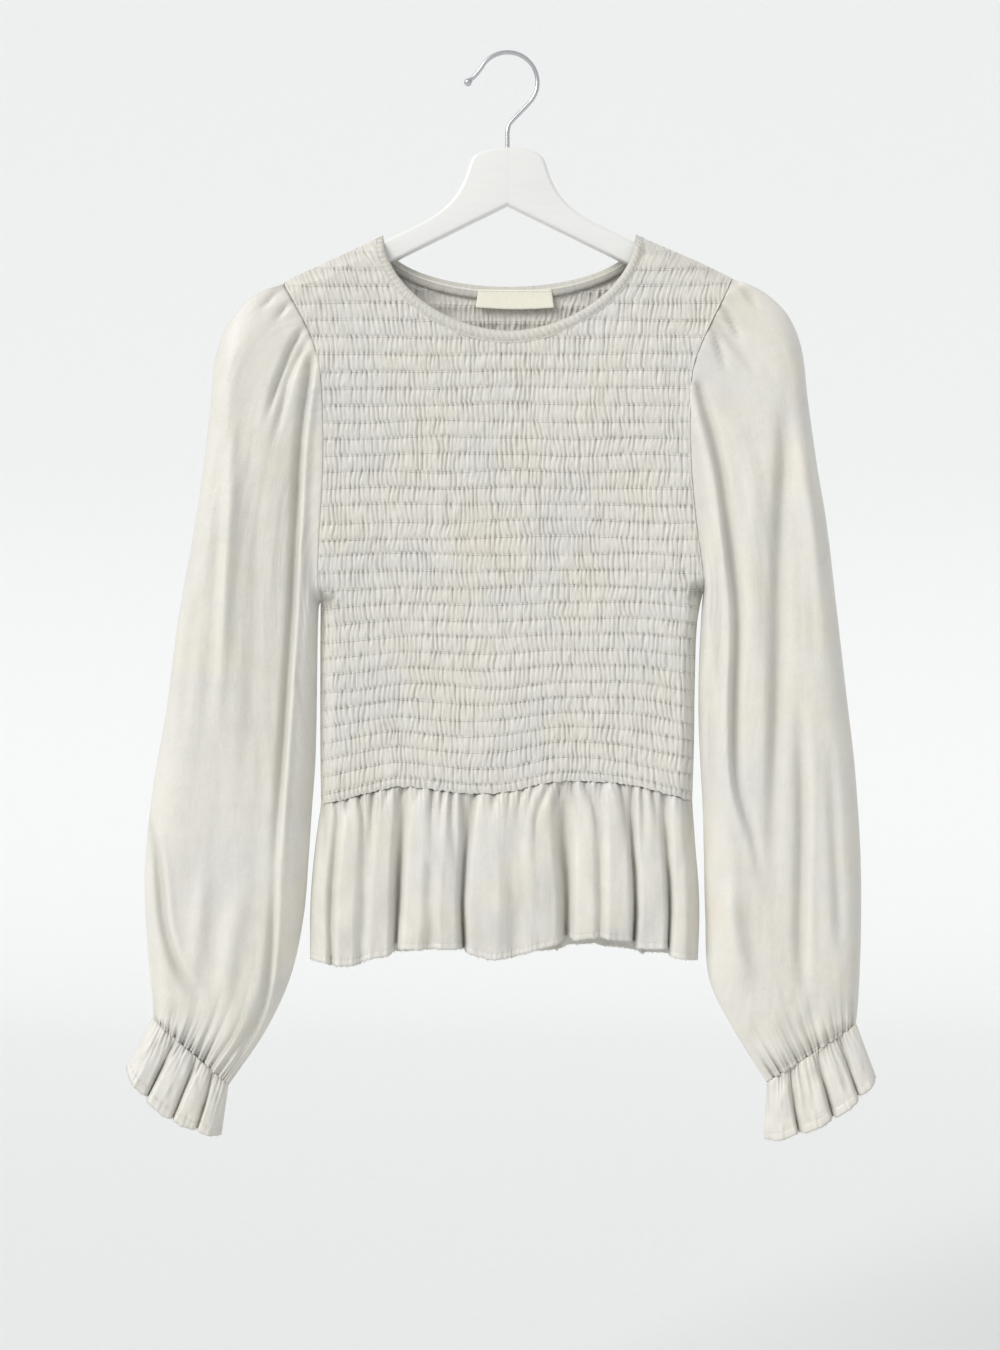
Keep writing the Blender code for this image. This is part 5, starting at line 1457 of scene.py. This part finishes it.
def hanger_hook(surface):
    """Make the bent steel wire hook with its bead."""
    centre = WIRE_RADIUS - HOOK_RADIUS
    route = [(0.0, -84.0, 1.0), (0.0, -70.0, 1.0), (0.0, -61.0, 1.0)]
    route += [(0.5, -57.0, 1.0), (2.2, -53.4, 1.0), (7.0, -48.2, 1.0), (12.5, -42.6, 1.0)]
    for angle in np.radians(np.arange(-42, 161, 13)):
        route.append((HOOK_RADIUS * math.cos(angle), centre + HOOK_RADIUS * math.sin(angle), 1.0))
    route += [(-25.4, -16.6, 1.0), (-28.4, -19.4, 1.0), (-29.4, -20.4, 1.35)]
    route += [(-30.3, -21.2, BEAD_SWELL), (-31.4, -22.2, BEAD_SWELL)]
    route += [(-32.6, -23.3, 1.3), (-33.0, -23.7, 0.6)]
    line = bpy.data.curves.new("hanger_hook_wire", "CURVE")
    line.dimensions = "3D"
    line.bevel_depth = WIRE_RADIUS * MILLIMETRE
    line.bevel_resolution = 6
    line.use_fill_caps = True
    smooth = smooth_line(route, 4)
    spline = line.splines.new("POLY")
    spline.points.add(len(smooth) - 1)
    for point, (x, z, swell) in zip(spline.points, smooth):
        point.co = (x * MILLIMETRE, 0.0, z * MILLIMETRE, 1.0)
        point.radius = swell
    line.materials.append(surface)
    hook = bpy.data.objects.new("hanger_hook_wire", line)
    bpy.context.scene.collection.objects.link(hook)
    return hook


class BLOUSE_PT_panel(Panel):
    """The blouse's sizes, colours and pieces"""

    bl_idname = "BLOUSE_PT_panel"
    bl_label = "Smocked blouse"
    bl_space_type = "VIEW_3D"
    bl_region_type = "UI"
    bl_category = "Blouse"

    def draw(self, context):
        layout = self.layout
        for settings in (context.scene.blouse_sizes, context.scene.blouse_colours):
            box = layout.box()
            for name in settings.__annotations__:
                box.prop(settings, name)
        for step in STEPS:
            layout.operator(step.bl_idname)


STEPS = (
    BLOUSE_OT_stage, BLOUSE_OT_smocking, BLOUSE_OT_neck, BLOUSE_OT_sleeves, BLOUSE_OT_ruffles,
    BLOUSE_OT_peplum, BLOUSE_OT_hanger,
)
CLASSES = (BlouseSizes, BlouseColours, *STEPS, BLOUSE_PT_panel)


def register():
    """Register the classes and put the settings on the scene."""
    for item in CLASSES:
        bpy.utils.register_class(item)
    bpy.types.Scene.blouse_sizes = PointerProperty(type=BlouseSizes)
    bpy.types.Scene.blouse_colours = PointerProperty(type=BlouseColours)


def unregister():
    """Take the settings off the scene and unregister the classes."""
    del bpy.types.Scene.blouse_sizes
    del bpy.types.Scene.blouse_colours
    for item in reversed(CLASSES):
        bpy.utils.unregister_class(item)


def main():
    """Make every piece in order."""
    register()
    bpy.ops.blouse.stage()
    bpy.ops.blouse.smocking()
    bpy.ops.blouse.neck()
    bpy.ops.blouse.sleeves()
    bpy.ops.blouse.ruffles()
    bpy.ops.blouse.peplum()
    bpy.ops.blouse.hanger()


if __name__ == "__main__":
    main()
